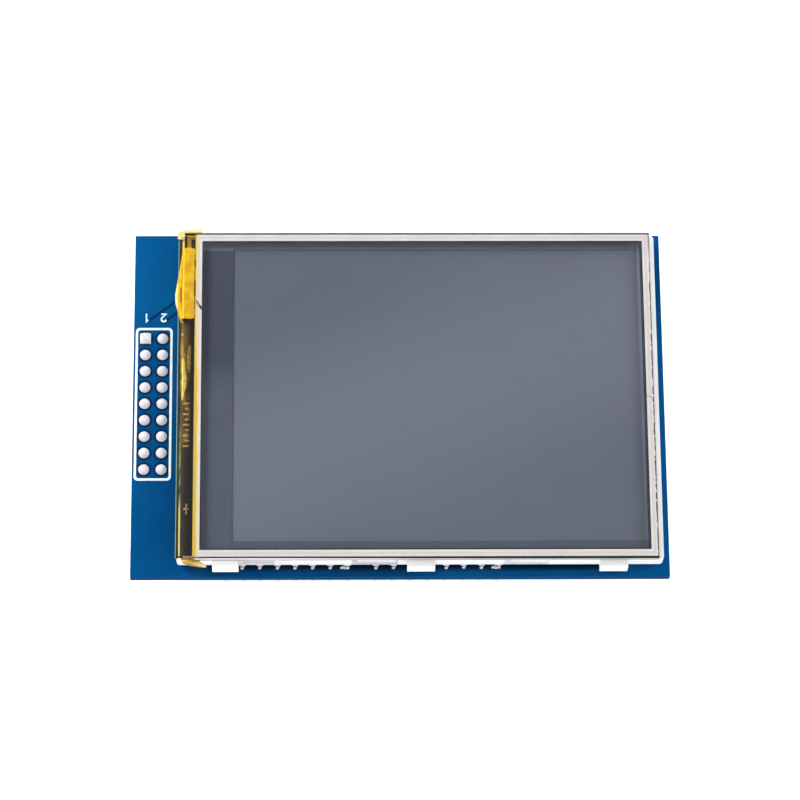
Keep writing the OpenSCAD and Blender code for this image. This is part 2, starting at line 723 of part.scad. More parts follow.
// a sheet lofted along Y through outlines of equal length
module loft(outlines, y0, y1) {
    n = len(outlines[0]);
    m = len(outlines);
    points = [for (j = [0 : m - 1], p = outlines[j]) [p[0], lerp(y0, y1, j / (m - 1)), p[1]]];
    sides = [for (j = [0 : m - 2], i = [0 : n - 1])
        [j * n + i, j * n + (i + 1) % n, (j + 1) * n + (i + 1) % n, (j + 1) * n + i]];
    quads = [for (q = sides, k = [0, 1]) k == 0 ? [q[0], q[1], q[2]] : [q[0], q[2], q[3]]];
    half = n / 2;
    caps = [for (j = [0, m - 1], i = [0 : half - 2], k = [0, 1])
        let (a = j * n + i, b = j * n + i + 1, c = j * n + n - 2 - i, d = j * n + n - 1 - i,
            t = k == 0 ? [a, c, b] : [a, d, c])
        j == 0 ? t : [t[2], t[1], t[0]]];
    polyhedron(points, concat(quads, caps), convexity = 6);
}

function tail_outline(u) =
    band(concat([[touch_left + tail_in, tail_mid_z]], loop_points(u, 0)), -spacer_t / 2, spacer_t / 2);
function wrap_line(u) =
    let (loop = loop_points(u, 0), a = land_angle(u))
    concat([for (i = [1 : loop_steps]) loop[i]],
        [for (k = [1 : 3]) on_bend(min(a + 6 * k, 150), land_gap + spacer_t / 2)]);

module touch_tail() color("#e2b610")
    loft([for (j = [0 : tail_steps]) tail_outline(j / tail_steps)], tail_lo, tail_hi);

module tail_wrap() color("#f0c81e")
    loft([for (j = [0 : tail_steps]) band(wrap_line(j / tail_steps),
        spacer_t / 2 + wrap_gap, spacer_t / 2 + wrap_gap + wrap_t)], tail_lo, tail_hi);

// mounting tape ------------------------------------------------------------

module mounting_tape() color("#d9dcde")
    for (x = [frame_left + strip_left, frame_right - strip_right - strip_w])
        block([x, frame_lo + foam_end, board_top], [x + strip_w, frame_hi - foam_end, frame_bot]);

// card socket --------------------------------------------------------------

socket_right = board_l / 2 - socket_inset;
socket_left = socket_right - socket_l;
socket_bot = board_bot - socket_h;
slot_half = slot_w / 2;
slot_top = board_bot - floor_t;
foot_l = 1.2;
foot_w = 0.8;
foot_inset = 1;
press_x = 3.6;
press_y = 2.75;
press_l = 2.2;
press_w = 4;
finger_d = 7;
finger_x = 1.4;
back_wall = 1.5;
slot_gap = 0.02;

module card_socket_cover() color("#c4c7c9") translate([0, socket_y, 0]) {
    difference() {
        block([socket_left, -socket_w / 2, socket_bot], [socket_right, socket_w / 2, board_bot - 0.1]);
        block([socket_left - 1, -socket_w / 2 + cover_t, socket_bot + cover_t],
            [socket_right + 1, socket_w / 2 - cover_t, board_bot + 1]);
        // pressed windows over the contacts
        for (y = [-press_y, press_y]) translate([socket_left + press_x, y, socket_bot - 1])
            block([-press_l / 2, -press_w / 2, 0], [press_l / 2, press_w / 2, cover_t + 2]);
        // finger cut at the mouth
        translate([socket_right + finger_x, 0, socket_bot - 1])
            cylinder(h = cover_t + 2, d = finger_d, $fn = 2 * round_fn);
    }
    // feet on the soldering pads
    for (x = [socket_left + foot_inset, socket_right - foot_inset - foot_l], s = [-1, 1])
        translate([x, s * (socket_w / 2 + foot_w / 2), board_bot - pad_t - cover_t])
            block([0, -foot_w / 2, 0], [foot_l, foot_w / 2, cover_t]);
}

// plastic floor against the board, two side rails and a back wall with a gap for each contact
module card_socket_base() color("#202124") translate([0, socket_y, 0]) difference() {
    block([socket_left + 0.3, -socket_w / 2 + cover_t, socket_bot + cover_t],
        [socket_right - 0.3, socket_w / 2 - cover_t, board_bot - pad_t]);
    block([socket_left + back_wall, -slot_half, socket_bot - 1], [socket_right + 1, slot_half, slot_top]);
    for (i = [0 : contact_count - 1]) translate([0, (i - (contact_count - 1) / 2) * contact_pitch, 0])
        block([socket_left - 1, -contact_w / 2 - slot_gap, slot_top - contact_t - 0.25],
            [socket_left + back_wall + 0.1, contact_w / 2 + slot_gap, board_bot]);
}

// side view of a contact: tail on its pad, stem along the floor, sprung hump
module contact_profile() {
    x0 = socket_left - 0.6;
    z0 = board_bot - pad_t;
    polygon([[x0, z0], [x0, z0 - contact_t], [x0 + 1.1, z0 - contact_t],
        [x0 + 1.5, slot_top - contact_t], [x0 + 4, slot_top - contact_t],
        [x0 + 5, slot_top - contact_t - 0.6], [x0 + 5.6, slot_top - contact_t - 0.6],
        [x0 + 6.4, slot_top - contact_t - 0.1],
        [x0 + 6.4, slot_top - 0.1], [x0 + 5.5, slot_top - 0.6], [x0 + 5.1, slot_top - 0.6],
        [x0 + 4.1, slot_top], [x0 + 1.4, slot_top], [x0 + 1, z0]]);
}

module card_socket_contacts() color("#d8b65a")
    for (i = [0 : contact_count - 1])
        translate([0, socket_y + (i - (contact_count - 1) / 2) * contact_pitch + contact_w / 2, 0])
            rotate([90, 0, 0]) linear_extrude(contact_w) contact_profile();

// chips on the back ----------------------------------------------------------

// side view of a moulded body, widest at half its height
module body_profile(w, h, draft) polygon([[-w / 2 + draft, 0], [-w / 2, -h / 2], [-w / 2 + draft, -h],
    [w / 2 - draft, -h], [w / 2, -h / 2], [w / 2 - draft, 0]]);

// a moulded body under the board with drafted sides: top face at z1, standing h down
module moulded_body(l, w, h, z1, draft) {
    translate([0, 0, z1]) intersection() {
        rotate([90, 0, 0]) linear_extrude(w, center = true) body_profile(l, h, draft);
        rotate([90, 0, 90]) linear_extrude(l, center = true) body_profile(w, h, draft);
    }
}

shifter_places = [for (i = [0 : 1]) [shifter_x + i * shifter_gap, shifter_y]];
lead_t = 0.15;
lead_reach = 1;
stand_off = 0.1;
chip_z = board_bot - stand_off;

module level_shifter_bodies() color("#26272a")
    for (p = shifter_places) translate(p) moulded_body(shifter_l, shifter_w, shifter_h, chip_z, 0.08);

// gull-wing lead: from the side of a body at z_in, down to its pad, reaching out by r
module wing(r, t, w, z_in) rotate([90, 0, 0]) linear_extrude(w, center = true) polygon([
    [0, z_in], [0, z_in - t], [r * 0.4, z_in - t], [r * 0.6, board_bot - pad_t - t],
    [r, board_bot - pad_t - t], [r, board_bot - pad_t], [r * 0.5, board_bot - pad_t],
    [r * 0.3, z_in]]);

module level_shifter_leads() color("#b9bcbf")
    for (p = shifter_places, s = [0, 1], i = [0 : shifter_leads - 1])
        translate([p[0], p[1], 0]) rotate(90 + 180 * s)
            translate([shifter_w / 2, (i - (shifter_leads - 1) / 2) * shifter_pitch, 0])
                wing(lead_reach, lead_t, 0.22, chip_z - shifter_h * 0.5 + lead_t / 2);

reg_lead_reach = 1.75;
reg_lead_t = 0.25;
reg_lead_w = 0.7;
reg_tab_w = 3;
reg_pitch = 2.3;
reg_draft = 0.12;
reg_lead_z = chip_z - reg_h / 2 + reg_draft;

module regulator_body() color("#242528")
    translate([reg_x, reg_y]) moulded_body(reg_l, reg_w, reg_h, chip_z, reg_draft);

module regulator_leads() color("#b9bcbf") translate([reg_x, reg_y, 0]) {
    rotate(90) translate([reg_w / 2, 0, 0]) wing(reg_lead_reach, reg_lead_t, reg_tab_w, reg_lead_z);
    for (i = [-1 : 1]) rotate(-90) translate([reg_w / 2, i * reg_pitch, 0])
        wing(reg_lead_reach, reg_lead_t, reg_lead_w, reg_lead_z);
}

// small parts with an end cap at each end: places are [x, y, turn]
res_places = concat([for (i = [0 : 4]) [shifter_x - 5 + i * 2.4, shifter_y + 8, 90]],
    [for (i = [0 : 3]) [shifter_x + 8 + i * 2.4, shifter_y - 6.4, 90]]);
cap_places = [[shifter_x - 5.6, shifter_y, 90], [shifter_x + shifter_gap + 5.6, shifter_y, 90],
    [reg_x - 6.4, reg_y + 0.5, 90], [socket_left - 4, socket_y + 3, 90]];
tant_places = [[reg_x + 7, reg_y + 1, 90], [reg_x + 10.5, reg_y + 1, 90]];
cap_end = 0.35;

module at(places) for (p = places) translate([p[0], p[1], 0]) rotate(p[2]) children();

module small_body(l, w, h) translate([0, 0, board_bot - pad_t - h / 2])
    cube([l - 2 * cap_end, w, h], center = true);

module small_ends(l, w, h) for (s = [-1, 1])
    translate([s * (l - cap_end) / 2, 0, board_bot - pad_t - h / 2]) cube([cap_end, w, h], center = true);

module chip_resistors() color("#1e1f22") at(res_places) small_body(res_l, res_w, res_h);
module resistor_ends() color("#cdd0d2") at(res_places) small_ends(res_l, res_w, res_h);
module chip_capacitors() color("#b08a5a") at(cap_places) small_body(cap_l, cap_w, cap_h);
module capacitor_ends() color("#cdd0d2") at(cap_places) small_ends(cap_l, cap_w, cap_h);

module moulded_capacitors() color("#c9a227") at(tant_places)
    moulded_body(tant_l, tant_w, tant_h - 0.15, board_bot - pad_t - 0.15, 0.08);

// folded end strips: up the end and under the body
module moulded_capacitor_leads() color("#b9bcbf") at(tant_places) for (s = [0, 1]) rotate(180 * s)
    rotate([90, 0, 0]) linear_extrude(tant_w * 0.7, center = true) polygon([
        [tant_l / 2, board_bot - pad_t - tant_h / 2], [tant_l / 2 + 0.15, board_bot - pad_t - tant_h / 2],
        [tant_l / 2 + 0.15, board_bot - pad_t], [tant_l / 2 - 0.8, board_bot - pad_t],
        [tant_l / 2 - 0.8, board_bot - pad_t - 0.15], [tant_l / 2, board_bot - pad_t - 0.15]]);

// pads ---------------------------------------------------------------------

pad_margin = 0.4;
lead_pad_out = 0.85;
lead_pad_l = 1;
lead_pad_w = 0.36;
reg_pad_out = 1.4;
reg_pad_l = 1.6;
reg_pad_w = 1;
end_pad_l = 0.8;
tant_pad_l = 1.6;
contact_pad_l = 1.2;
contact_pad_w = 0.7;
foot_pad_out = 0.7;
foot_pad_w = 1.3;

// a pad on the underside of the board, centred at x, y
module pad(x, y, l, w) translate([x, y, board_bot - pad_t / 2]) cube([l, w, pad_t], center = true);

module soldering_pads() color("#c8ccce") {
    for (p = shifter_places, s = [-1, 1], i = [0 : shifter_leads - 1])
        pad(p[0] + (i - (shifter_leads - 1) / 2) * shifter_pitch, p[1] + s * (shifter_w / 2 + lead_pad_out),
            lead_pad_w, lead_pad_l);
    pad(reg_x, reg_y + reg_w / 2 + reg_pad_out, reg_tab_w + pad_margin, reg_pad_l);
    for (i = [-1 : 1]) pad(reg_x + i * reg_pitch, reg_y - reg_w / 2 - reg_pad_out, reg_pad_w, reg_pad_l);
    at(res_places) for (s = [-1, 1]) pad(s * res_l / 2, 0, end_pad_l, res_w + 0.1);
    at(cap_places) for (s = [-1, 1]) pad(s * cap_l / 2, 0, end_pad_l, cap_w + 0.1);
    at(tant_places) for (s = [-1, 1]) pad(s * tant_l / 2, 0, tant_pad_l, tant_w);
    for (i = [0 : contact_count - 1])
        pad(socket_left - contact_pad_l / 4, socket_y + (i - (contact_count - 1) / 2) * contact_pitch,
            contact_pad_l, contact_pad_w);
    for (x = [socket_left + foot_inset, socket_right - foot_inset - foot_l], s = [-1, 1])
        pad(x + foot_l / 2, socket_y + s * (socket_w / 2 + foot_pad_out), foot_l + pad_margin, foot_pad_w);
}

// one line for each node -----------------------------------------------------
circuit_board();
header_outline_print();
header_body(low_pins);  // low_signal_header
header_body(high_pins);  // high_signal_header
header_body(supply_pin_places);  // supply_header
header_body(analogue_pin_places);  // analogue_header
side_header();
pins(low_pins, row_joint_h);  // low_signal_pins
pins(high_pins, row_joint_h);  // high_signal_pins
pins(supply_pin_places, row_joint_h);  // supply_pin_row
pins(analogue_pin_places, row_joint_h);  // analogue_pins
pins(side_pin_places, joint_h);  // side_pins
joints(low_pins, row_joint_h);  // low_signal_joints
joints(high_pins, row_joint_h);  // high_signal_joints
joints(supply_pin_places, row_joint_h);  // supply_joints
joints(analogue_pin_places, row_joint_h);  // analogue_joints
side_joints();
mounting_tape();
backlight_frame();
reflector_sheet();
light_guide();
backlight_lamps();
lamp_strip();
diffuser_film();
lower_prism_film();
upper_prism_film();
rim_tape();
rear_polariser();
array_glass();
filter_glass();
front_polariser();
driver_chip();
display_flex();
flex_solder();
ledge_foam();
edge_film();
touch_tape();
touch_glass();
spacer_ring();
touch_film();
touch_tail();
tail_wrap();
card_socket_cover();
card_socket_base();
card_socket_contacts();
level_shifter_bodies();
level_shifter_leads();
regulator_body();
regulator_leads();
chip_resistors();
resistor_ends();
chip_capacitors();
capacitor_ends();
moulded_capacitors();
moulded_capacitor_leads();
soldering_pads();
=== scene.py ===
import math
import random

import bmesh
import bpy
from mathutils import Matrix, Vector


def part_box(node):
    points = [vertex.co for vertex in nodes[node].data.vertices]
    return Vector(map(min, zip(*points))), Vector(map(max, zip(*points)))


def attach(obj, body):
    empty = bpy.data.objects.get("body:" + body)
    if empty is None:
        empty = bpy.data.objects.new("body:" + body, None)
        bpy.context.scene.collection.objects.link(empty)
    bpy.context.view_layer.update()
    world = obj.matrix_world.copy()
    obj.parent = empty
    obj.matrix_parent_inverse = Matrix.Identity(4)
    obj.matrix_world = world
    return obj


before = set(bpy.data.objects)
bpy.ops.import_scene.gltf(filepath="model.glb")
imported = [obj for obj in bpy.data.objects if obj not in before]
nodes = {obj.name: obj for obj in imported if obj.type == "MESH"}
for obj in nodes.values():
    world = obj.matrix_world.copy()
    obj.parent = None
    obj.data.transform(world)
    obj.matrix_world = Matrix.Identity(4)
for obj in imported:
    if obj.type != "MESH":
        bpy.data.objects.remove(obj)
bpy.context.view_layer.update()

mm = 0.001
scene = bpy.context.scene
dice = random.Random(28)
# a soft step between two values and a blend of two colours, with the sockets that add fills in order
presets = {"Step": ("MapRange", range(5), 0, {"interpolation_type": "SMOOTHSTEP"}),
           "Blend": ("Mix", (0, 6, 7), 2, {"data_type": "RGBA"})}
print("frame:", len(nodes), "nodes")


def toLinear(code):  # sRGB hex to the linear colour that a socket takes
    parts = [int(code[i:i + 2], 16) / 255 for i in (0, 2, 4)]
    return tuple(p / 12.92 if p <= 0.04045 else ((p + 0.055) / 1.055) ** 2.4 for p in parts) + (1,)


def perMetre(size):  # texture scale for features this many millimetres across
    return 1 / (size * mm)


def add(tree, kind, *terms, **settings):  # a node, its inputs filled by values, hex colours and outputs
    name, order, main, preset = presets.get(kind, (kind, range(9), 0, {}))
    if kind.isupper():  # a maths operation
        name, preset = "Math", {"operation": kind}
    node = tree.nodes.new("ShaderNode" + name)
    for key, value in {**preset, **settings}.items():
        setattr(node, key, value)
    fills = terms[0] if terms and isinstance(terms[0], dict) else dict(zip(order, terms))
    for socket, term in fills.items():
        if isinstance(term, bpy.types.NodeSocket):
            tree.links.new(term, node.inputs[socket])
        else:
            node.inputs[socket].default_value = toLinear(term) if isinstance(term, str) else term
    return node.outputs[main]


def between(tree, value, low, high, fadeIn, fadeOut):  # 1 from low to high, fading outside them
    return add(tree, "MULTIPLY", add(tree, "Step", value, low - fadeIn, low),
               add(tree, "Step", value, high, high + fadeOut, 1.0, 0.0))


def roughen(tree, distance, noise, reach):  # shifts a distance by noise, so that an edge looks ragged
    return add(tree, "ADD", distance, add(tree, "MULTIPLY", add(tree, "SUBTRACT", noise, 0.5), reach))


def squares(tree, a, b):  # the sum of two squares
    return add(tree, "ADD", add(tree, "MULTIPLY", a, a), add(tree, "MULTIPLY", b, b))


def insetFrom(tree, x, y, low, high):  # distance inward from the nearest side of a rectangle
    nearest = add(tree, "SUBTRACT", x, low[0])
    for side in ((high[0], x), (y, low[1]), (high[1], y)):
        nearest = add(tree, "MINIMUM", nearest, add(tree, "SUBTRACT", *side))
    return nearest


def fromLine(tree, x, y, start, end):  # distances along a line from its start, and across it
    aim = (Vector(end) - Vector(start)).normalized()
    offX, offY = add(tree, "SUBTRACT", x, start[0]), add(tree, "SUBTRACT", y, start[1])
    along = add(tree, "ADD", add(tree, "MULTIPLY", offX, aim.x), add(tree, "MULTIPLY", offY, aim.y))
    across = add(tree, "SUBTRACT", add(tree, "MULTIPLY", offY, aim.x), add(tree, "MULTIPLY", offX, aim.y))
    return along, across


def facing(tree, axis, normal="Normal"):  # how far the surface faces along an axis
    return add(tree, "SeparateXYZ", add(tree, "NewGeometry").node.outputs[normal]).node.outputs[axis]


def makeFinish(name, look):  # two tones in patches, fine relief, and a sheen that follows it
    material = bpy.data.materials.new(name)
    material.use_nodes = True
    tree = material.node_tree
    surface = tree.nodes["Principled BSDF"]
    place = add(tree, "TexCoord").node.outputs["Object"]
    drawn = add(tree, "Mapping", {"Vector": place, "Scale": look.get("stretch", (1, 1, 1))})
    patches = add(tree, "TexNoise", {"Vector": place, "Scale": perMetre(look["patch"]), "Detail": 3.0})
    grain = add(tree, "TexNoise", {"Vector": drawn, "Scale": perMetre(look["grain"]), "Detail": 4.0})
    made = {"Base Color": add(tree, "Blend", add(tree, "Step", patches, 0.36, 0.64), *look["tones"]),
            "Roughness": add(tree, "Step", grain, 0.3, 0.7, *look["rough"]),
            "Normal": add(tree, "Bump", {"Distance": look["relief"] * mm, "Strength": 1.0, "Height": grain})}
    for socket, source in made.items():
        tree.links.new(source, surface.inputs[socket])
    glow, strength = look.get("glow", ("ffffff", 0.0))
    values = {"Metallic": look.get("metal", 0.0), "Specular IOR Level": look.get("shine", 0.5),
              "Emission Color": toLinear(glow), "Emission Strength": strength}
    for socket, value in values.items():
        surface.inputs[socket].default_value = value
    if "ior" in look:
        surface.inputs["IOR"].default_value = look["ior"]
    return {"material": material, "tree": tree, "surface": surface, "place": place, "patches": patches,
            "grain": grain, "colour": made["Base Color"], "rough": made["Roughness"]}


def axes(finish):  # x, y and z over the surface, in millimetres
    scaled = add(finish["tree"], "VectorMath", {0: finish["place"], "Scale": 1 / mm}, operation="SCALE")
    return add(finish["tree"], "SeparateXYZ", scaled).node.outputs


def relink(finish, socket, source):
    finish["tree"].links.new(source, finish["surface"].inputs[socket])


def show(tree, shader):
    tree.links.new(shader, tree.nodes["Material Output"].inputs["Surface"])


def recolour(finish, colour):
    relink(finish, "Base Color", colour)
    finish["colour"] = colour


def dress(finish, *names):
    for name in names:
        for slot in nodes[name].material_slots:
            slot.material = finish["material"]


def corners(name):  # a node's lowest and highest corners, in millimetres
    return [Vector(corner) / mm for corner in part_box(name)]


def place3(point, z):  # a plan point and a height in millimetres, as a point in metres
    return Vector((point[0], point[1], z)) * mm


def addStrip(shape, points, width, low, high):  # solid strip along plan points, or a closed loop of it
    flat = [Vector(p) for p in points]
    closed = flat[0] == flat[-1]
    if closed:
        flat.pop()
    rings = []
    for i, here in enumerate(flat):
        before = (here - flat[i - 1]).normalized() if i or closed else None
        after = (flat[(i + 1) % len(flat)] - here).normalized() if i + 1 < len(flat) or closed else None
        along = ((before or after) + (after or before)).normalized()
        across = Vector((-along.y, along.x)) * width / 2
        across /= max(0.5, along.dot(after or before))
        rings.append([shape.verts.new(place3(q, z)) for q, z in (
            (here - across, low), (here + across, low), (here + across, high), (here - across, high))])
    for a, b in zip(rings, rings[1:] + (rings[:1] if closed else [])):
        for k in range(4):
            shape.faces.new((a[k], a[(k + 1) % 4], b[(k + 1) % 4], b[k]))
    if not closed:
        shape.faces.new(rings[0][::-1])
        shape.faces.new(rings[-1])


def frameLine(lowX, lowY, highX, highY):  # the four corners of a rectangle, back to the first
    return (lowX, lowY), (highX, lowY), (highX, highY), (lowX, highY), (lowX, lowY)


def ovalLine(x, y, size, sides=12):  # points round an oval, whose size is along x and y
    turns = [2 * math.pi * k / sides for k in range(sides)]
    return [(x + size[0] * math.cos(turn), y + size[1] * math.sin(turn)) for turn in turns]


def addPlate(shape, outline, low, high):  # flat plate inside an outline, one height or one for each point
    lows = low if isinstance(low, (list, tuple)) else [low] * len(outline)
    under = [shape.verts.new(place3(q, z)) for q, z in zip(outline, lows)]
    over = [shape.verts.new(place3(q, z + high - lows[0])) for q, z in zip(outline, lows)]
    shape.faces.new(under[::-1])
    shape.faces.new(over)
    for k in range(len(outline)):
        j = (k + 1) % len(outline)
        shape.faces.new((under[k], under[j], over[j], over[k]))


def addDome(shape, centre, size, rows=5, sides=14):  # low dome over an oval, size along x, y and up
    rings = []
    for row in range(rows):
        up = math.pi / 2 * row / rows
        line = ovalLine(centre[0], centre[1], (size[0] * math.cos(up), size[1] * math.cos(up)), sides)
        rings.append([shape.verts.new(place3(q, centre[2] + size[2] * math.sin(up))) for q in line])
    top = shape.verts.new(place3(centre, centre[2] + size[2]))
    for a, b in zip(rings, rings[1:]):
        for k in range(sides):
            shape.faces.new((a[k], a[(k + 1) % sides], b[(k + 1) % sides], b[k]))
    for k in range(sides):
        shape.faces.new((rings[-1][k], rings[-1][(k + 1) % sides], top))
    shape.faces.new(rings[0][::-1])


def addPiece(name, shape, finish, smooth=False):
    bmesh.ops.recalc_face_normals(shape, faces=shape.faces)
    mesh = bpy.data.meshes.new(name)
    shape.to_mesh(mesh)
    shape.free()
    for polygon in mesh.polygons:
        polygon.use_smooth = smooth
    mesh.materials.append(finish["material"])
    piece = bpy.data.objects.new(name, mesh)
    scene.collection.objects.link(piece)
    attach(piece, "root")


# camera, nearly square on to the display from a little in front
cameraSetup = {"place": (-11.32, -179.59, 519.11), "aim": (0.165, 0.532, 10.1), "lens": 165.57, "sensor": 36,
               "roll": 3.36}
camera = bpy.data.objects.new("camera", bpy.data.cameras.new("camera"))
camera.data.lens = cameraSetup["lens"]
camera.data.sensor_width = cameraSetup["sensor"]
camera.location = Vector(cameraSetup["place"]) * mm
aim = (Vector(cameraSetup["aim"]) - Vector(cameraSetup["place"])).to_track_quat("-Z", "Y").to_matrix()
camera.rotation_euler = (aim @ Matrix.Rotation(math.radians(cameraSetup["roll"]), 3, "Z")).to_euler()
scene.collection.objects.link(camera)
scene.camera = camera

# pale room with a dark flag overhead, and two soft round lamps
studio = {"air": "fcfdff", "walls": 1.25, "flag": 0.13, "flagFrom": 0.62, "flagTo": 0.85, "lampSize": 0.4,
          "lamps": {"key": ((-0.5, 0.35, 0.5), 4.5), "fill": ((0.6, 0.1, 0.45), 1.6)}}
scene.view_settings.view_transform = "Standard"
world = bpy.data.worlds.new("studio")
world.use_nodes = True
tree = world.node_tree
room = tree.nodes["Background"]
room.inputs["Color"].default_value = toLinear(studio["air"])
height = add(tree, "SeparateXYZ", add(tree, "TexCoord").node.outputs["Generated"]).node.outputs[2]
light = add(tree, "Step", height, studio["flagFrom"], studio["flagTo"], studio["walls"], studio["flag"])
tree.links.new(light, room.inputs["Strength"])
scene.world = world
for name, (place, power) in studio["lamps"].items():
    lamp = bpy.data.objects.new(name, bpy.data.lights.new(name, "AREA"))
    lamp.data.shape = "DISK"
    lamp.data.size = studio["lampSize"]
    lamp.data.energy = power
    lamp.location = place
    lamp.rotation_euler = (-Vector(place)).to_track_quat("-Z", "Y").to_euler()
    scene.collection.objects.link(lamp)

# table: opal acrylic lit from inside, clear from below so that the underside shows
tableLook = {"tones": ("f4f4f2", "fafaf9"), "patch": 400, "rough": (0.5, 0.6), "grain": 8, "relief": 0.01,
             "glow": ("ffffff", 0.65), "radius": 1600}
tableFinish = makeFinish("opal acrylic", tableLook)
tree = tableFinish["tree"]
below = add(tree, "NewGeometry").node.outputs["Backfacing"]
show(tree, add(tree, "MixShader", below, tableFinish["surface"].outputs[0], add(tree, "BsdfTransparent")))
tableMesh = bpy.data.meshes.new("table")
shape = bmesh.new()
bmesh.ops.create_circle(shape, cap_ends=True, segments=96, radius=tableLook["radius"] * mm)
shape.to_mesh(tableMesh)
shape.free()
tableMesh.materials.append(tableFinish["material"])
table = bpy.data.objects.new("table", tableMesh)
scene.collection.objects.link(table)
print("camera, lights and table set")

# solder mask: sprayed and cured epoxy, an even satin blue, darker where copper is cleared round the pads, and
# near black along the front as painted shadow under the frame
maskLook = {"tones": ("00467a", "015690"), "patch": 24, "rough": (0.3, 0.42), "grain": 0.4, "relief": 0.003,
            "shine": 0.06, "halo": "022951", "haloFade": (0.95, 1.35),
            "sideTones": ("033760", "05426f"), "layer": 0.25, "gap": "02305a", "gapWidth": (0.1, 0.28),
            "shadowTone": "010c1e", "frontFade": (0.9, 1.75), "shadowFade": (-26.1, -24.95),
            "shadowSpan": (-27.2, 28.6), "frontOnly": (-21, -22),
            "gapLines": (((-32.5, 16.3), (-36.7, 13.1)), ((-32.5, 14.4), (-34.5, 12.8)))}
pinPitch, pinHalf = 2.54, 0.32
boardLow, boardHigh = (corner.z for corner in corners("circuit_board"))
maskFinish = makeFinish("solder mask", maskLook)
tree = maskFinish["tree"]
x, y, z = axes(maskFinish)


def fromPins(row, rows):  # distance to the nearest pin of a header of one or two rows
    low = corners(row)[0]
    offX = add(tree, "PINGPONG", add(tree, "SUBTRACT", x, low.x + pinHalf), pinPitch / 2)
    offY = add(tree, "SUBTRACT", y, low.y + pinHalf)
    if rows > 1:
        offY = add(tree, "PINGPONG", offY, pinPitch / 2)
    return add(tree, "SQRT", squares(tree, offX, offY))


def nearHeader(row, front, back, side, fade):  # 1 round a header, this far past its pins
    low, high = corners(row)
    inset = insetFrom(tree, x, y, low - Vector((side, front, 0)), high + Vector((side, back, 0)))
    return add(tree, "Step", inset, 0.0, fade)


middle = (boardLow + boardHigh) / 2
onTop = add(tree, "Step", z, middle - 0.1, middle + 0.1)
halo = add(tree, "Step", fromPins("side_pins", 2), *maskLook["haloFade"], 1.0, 0.0)
colour = add(tree, "Blend", add(tree, "MULTIPLY", halo, nearHeader("side_pins", 1, 1, 1, 0.1)),
             maskFinish["colour"], maskLook["halo"])
# painted shadow: a near-black band along the front of the board, where the frame's overhang shades it
shadowShare = add(tree, "MULTIPLY", add(tree, "Step", y, *maskLook["shadowFade"], 0.0, 0.85),
          between(tree, x, *maskLook["shadowSpan"], 1, 0.6))
for row in ("low_signal_pins", "high_signal_pins"):  # copper is cleared round the front rows too, and there the mask is painted near black as shadow under the frame
    dark = add(tree, "Step", fromPins(row, 1), *maskLook["frontFade"], 1.0, 0.0)
    shadowShare = add(tree, "MAXIMUM", shadowShare, add(tree, "MULTIPLY", dark, nearHeader(row, 3, 6, 1.7, 0.6)))
shadowShare = add(tree, "MULTIPLY", shadowShare, add(tree, "MULTIPLY", onTop, add(tree, "Step", y, *maskLook["frontOnly"])))
colour = add(tree, "Blend", shadowShare, colour, maskLook["shadowTone"])
for start, end in maskLook["gapLines"]:  # cleared copper beside a slanted track near the header
    along, across = fromLine(tree, x, y, start, end)
    line = add(tree, "Step", add(tree, "ABSOLUTE", across), *maskLook["gapWidth"], 1.0, 0.0)
    ends = between(tree, along, 0.1, (Vector(end) - Vector(start)).length, 0.2, 0.4)
    colour = add(tree, "Blend", add(tree, "MULTIPLY", add(tree, "MULTIPLY", line, ends), onTop), colour,
                 maskLook["gap"])
flat = add(tree, "Mapping", {"Vector": maskFinish["place"], "Scale": (0.1, 0.1, 1)})
layers = add(tree, "TexNoise", {"Vector": flat, "Scale": perMetre(maskLook["layer"])})
sides = add(tree, "Blend", add(tree, "Step", layers, 0.35, 0.65), *maskLook["sideTones"])
face = add(tree, "Step", add(tree, "ABSOLUTE", facing(tree, 2)), 0.3, 0.7)
recolour(maskFinish, add(tree, "Blend", face, sides, colour))
relink(maskFinish, "Roughness", add(tree, "MAXIMUM", add(tree, "SUBTRACT", 1.0, face), maskFinish["rough"]))
dress(maskFinish, "circuit_board")  # its sawn sides are matt

# screen ink: matt white epoxy pushed through a mesh, slightly thin in places
inkLook = {"tones": ("e3f1f6", "fbffff"), "patch": 0.8, "rough": (0.5, 0.7), "grain": 0.12, "relief": 0.004}
inkFinish = makeFinish("screen ink", inkLook)
dress(inkFinish, "header_outline_print")

# header bodies: glass-filled nylon, injection moulded, a dull even black with fine flow marks
nylonLook = {"tones": ("121214", "1e1e21"), "patch": 1.6, "rough": (0.42, 0.6), "grain": 0.12,
             "relief": 0.004, "ior": 1.53}
dress(makeFinish("glass-filled nylon", nylonLook), "side_header", "low_signal_header", "high_signal_header",
      "supply_header", "analogue_header")

# pins: drawn brass, flash gold plated, so lengthwise lines in a pale warm metal, with tips dipped in tin
goldLook = {"tones": ("d9b662", "ecd596"), "patch": 1.4, "rough": (0.18, 0.34), "grain": 0.1, "relief": 0.002,
            "metal": 1.0, "stretch": (1, 1, 0.08), "tip": "e2e2e0", "tipTo": 1.9, "tipFade": 0.3}
goldFinish = makeFinish("gold-plated brass", goldLook)
tree = goldFinish["tree"]
x, y, z = axes(goldFinish)
plated = add(tree, "Step", z, goldLook["tipTo"], goldLook["tipTo"] + goldLook["tipFade"])
recolour(goldFinish, add(tree, "Blend", plated, goldLook["tip"], goldFinish["colour"]))
dress(goldFinish, "side_pins", "low_signal_pins", "high_signal_pins", "supply_pin_row", "analogue_pins")

# joints: tin-silver solder that set slowly, pale domes frosted by tiny crystals, with a painted glow that
# flattens their shading
solderLook = {"tones": ("b8b2b0", "c9c9d3"), "patch": 0.6, "rough": (0.55, 0.75), "grain": 0.16,
              "relief": 0.003, "metal": 0.15, "glow": ("f6f4fb", 0.25)}
solderFinish = makeFinish("tin solder", solderLook)
dress(solderFinish, "side_joints", "low_signal_joints", "high_signal_joints", "supply_joints",
      "analogue_joints", "flex_solder")
print("board and headers dressed")

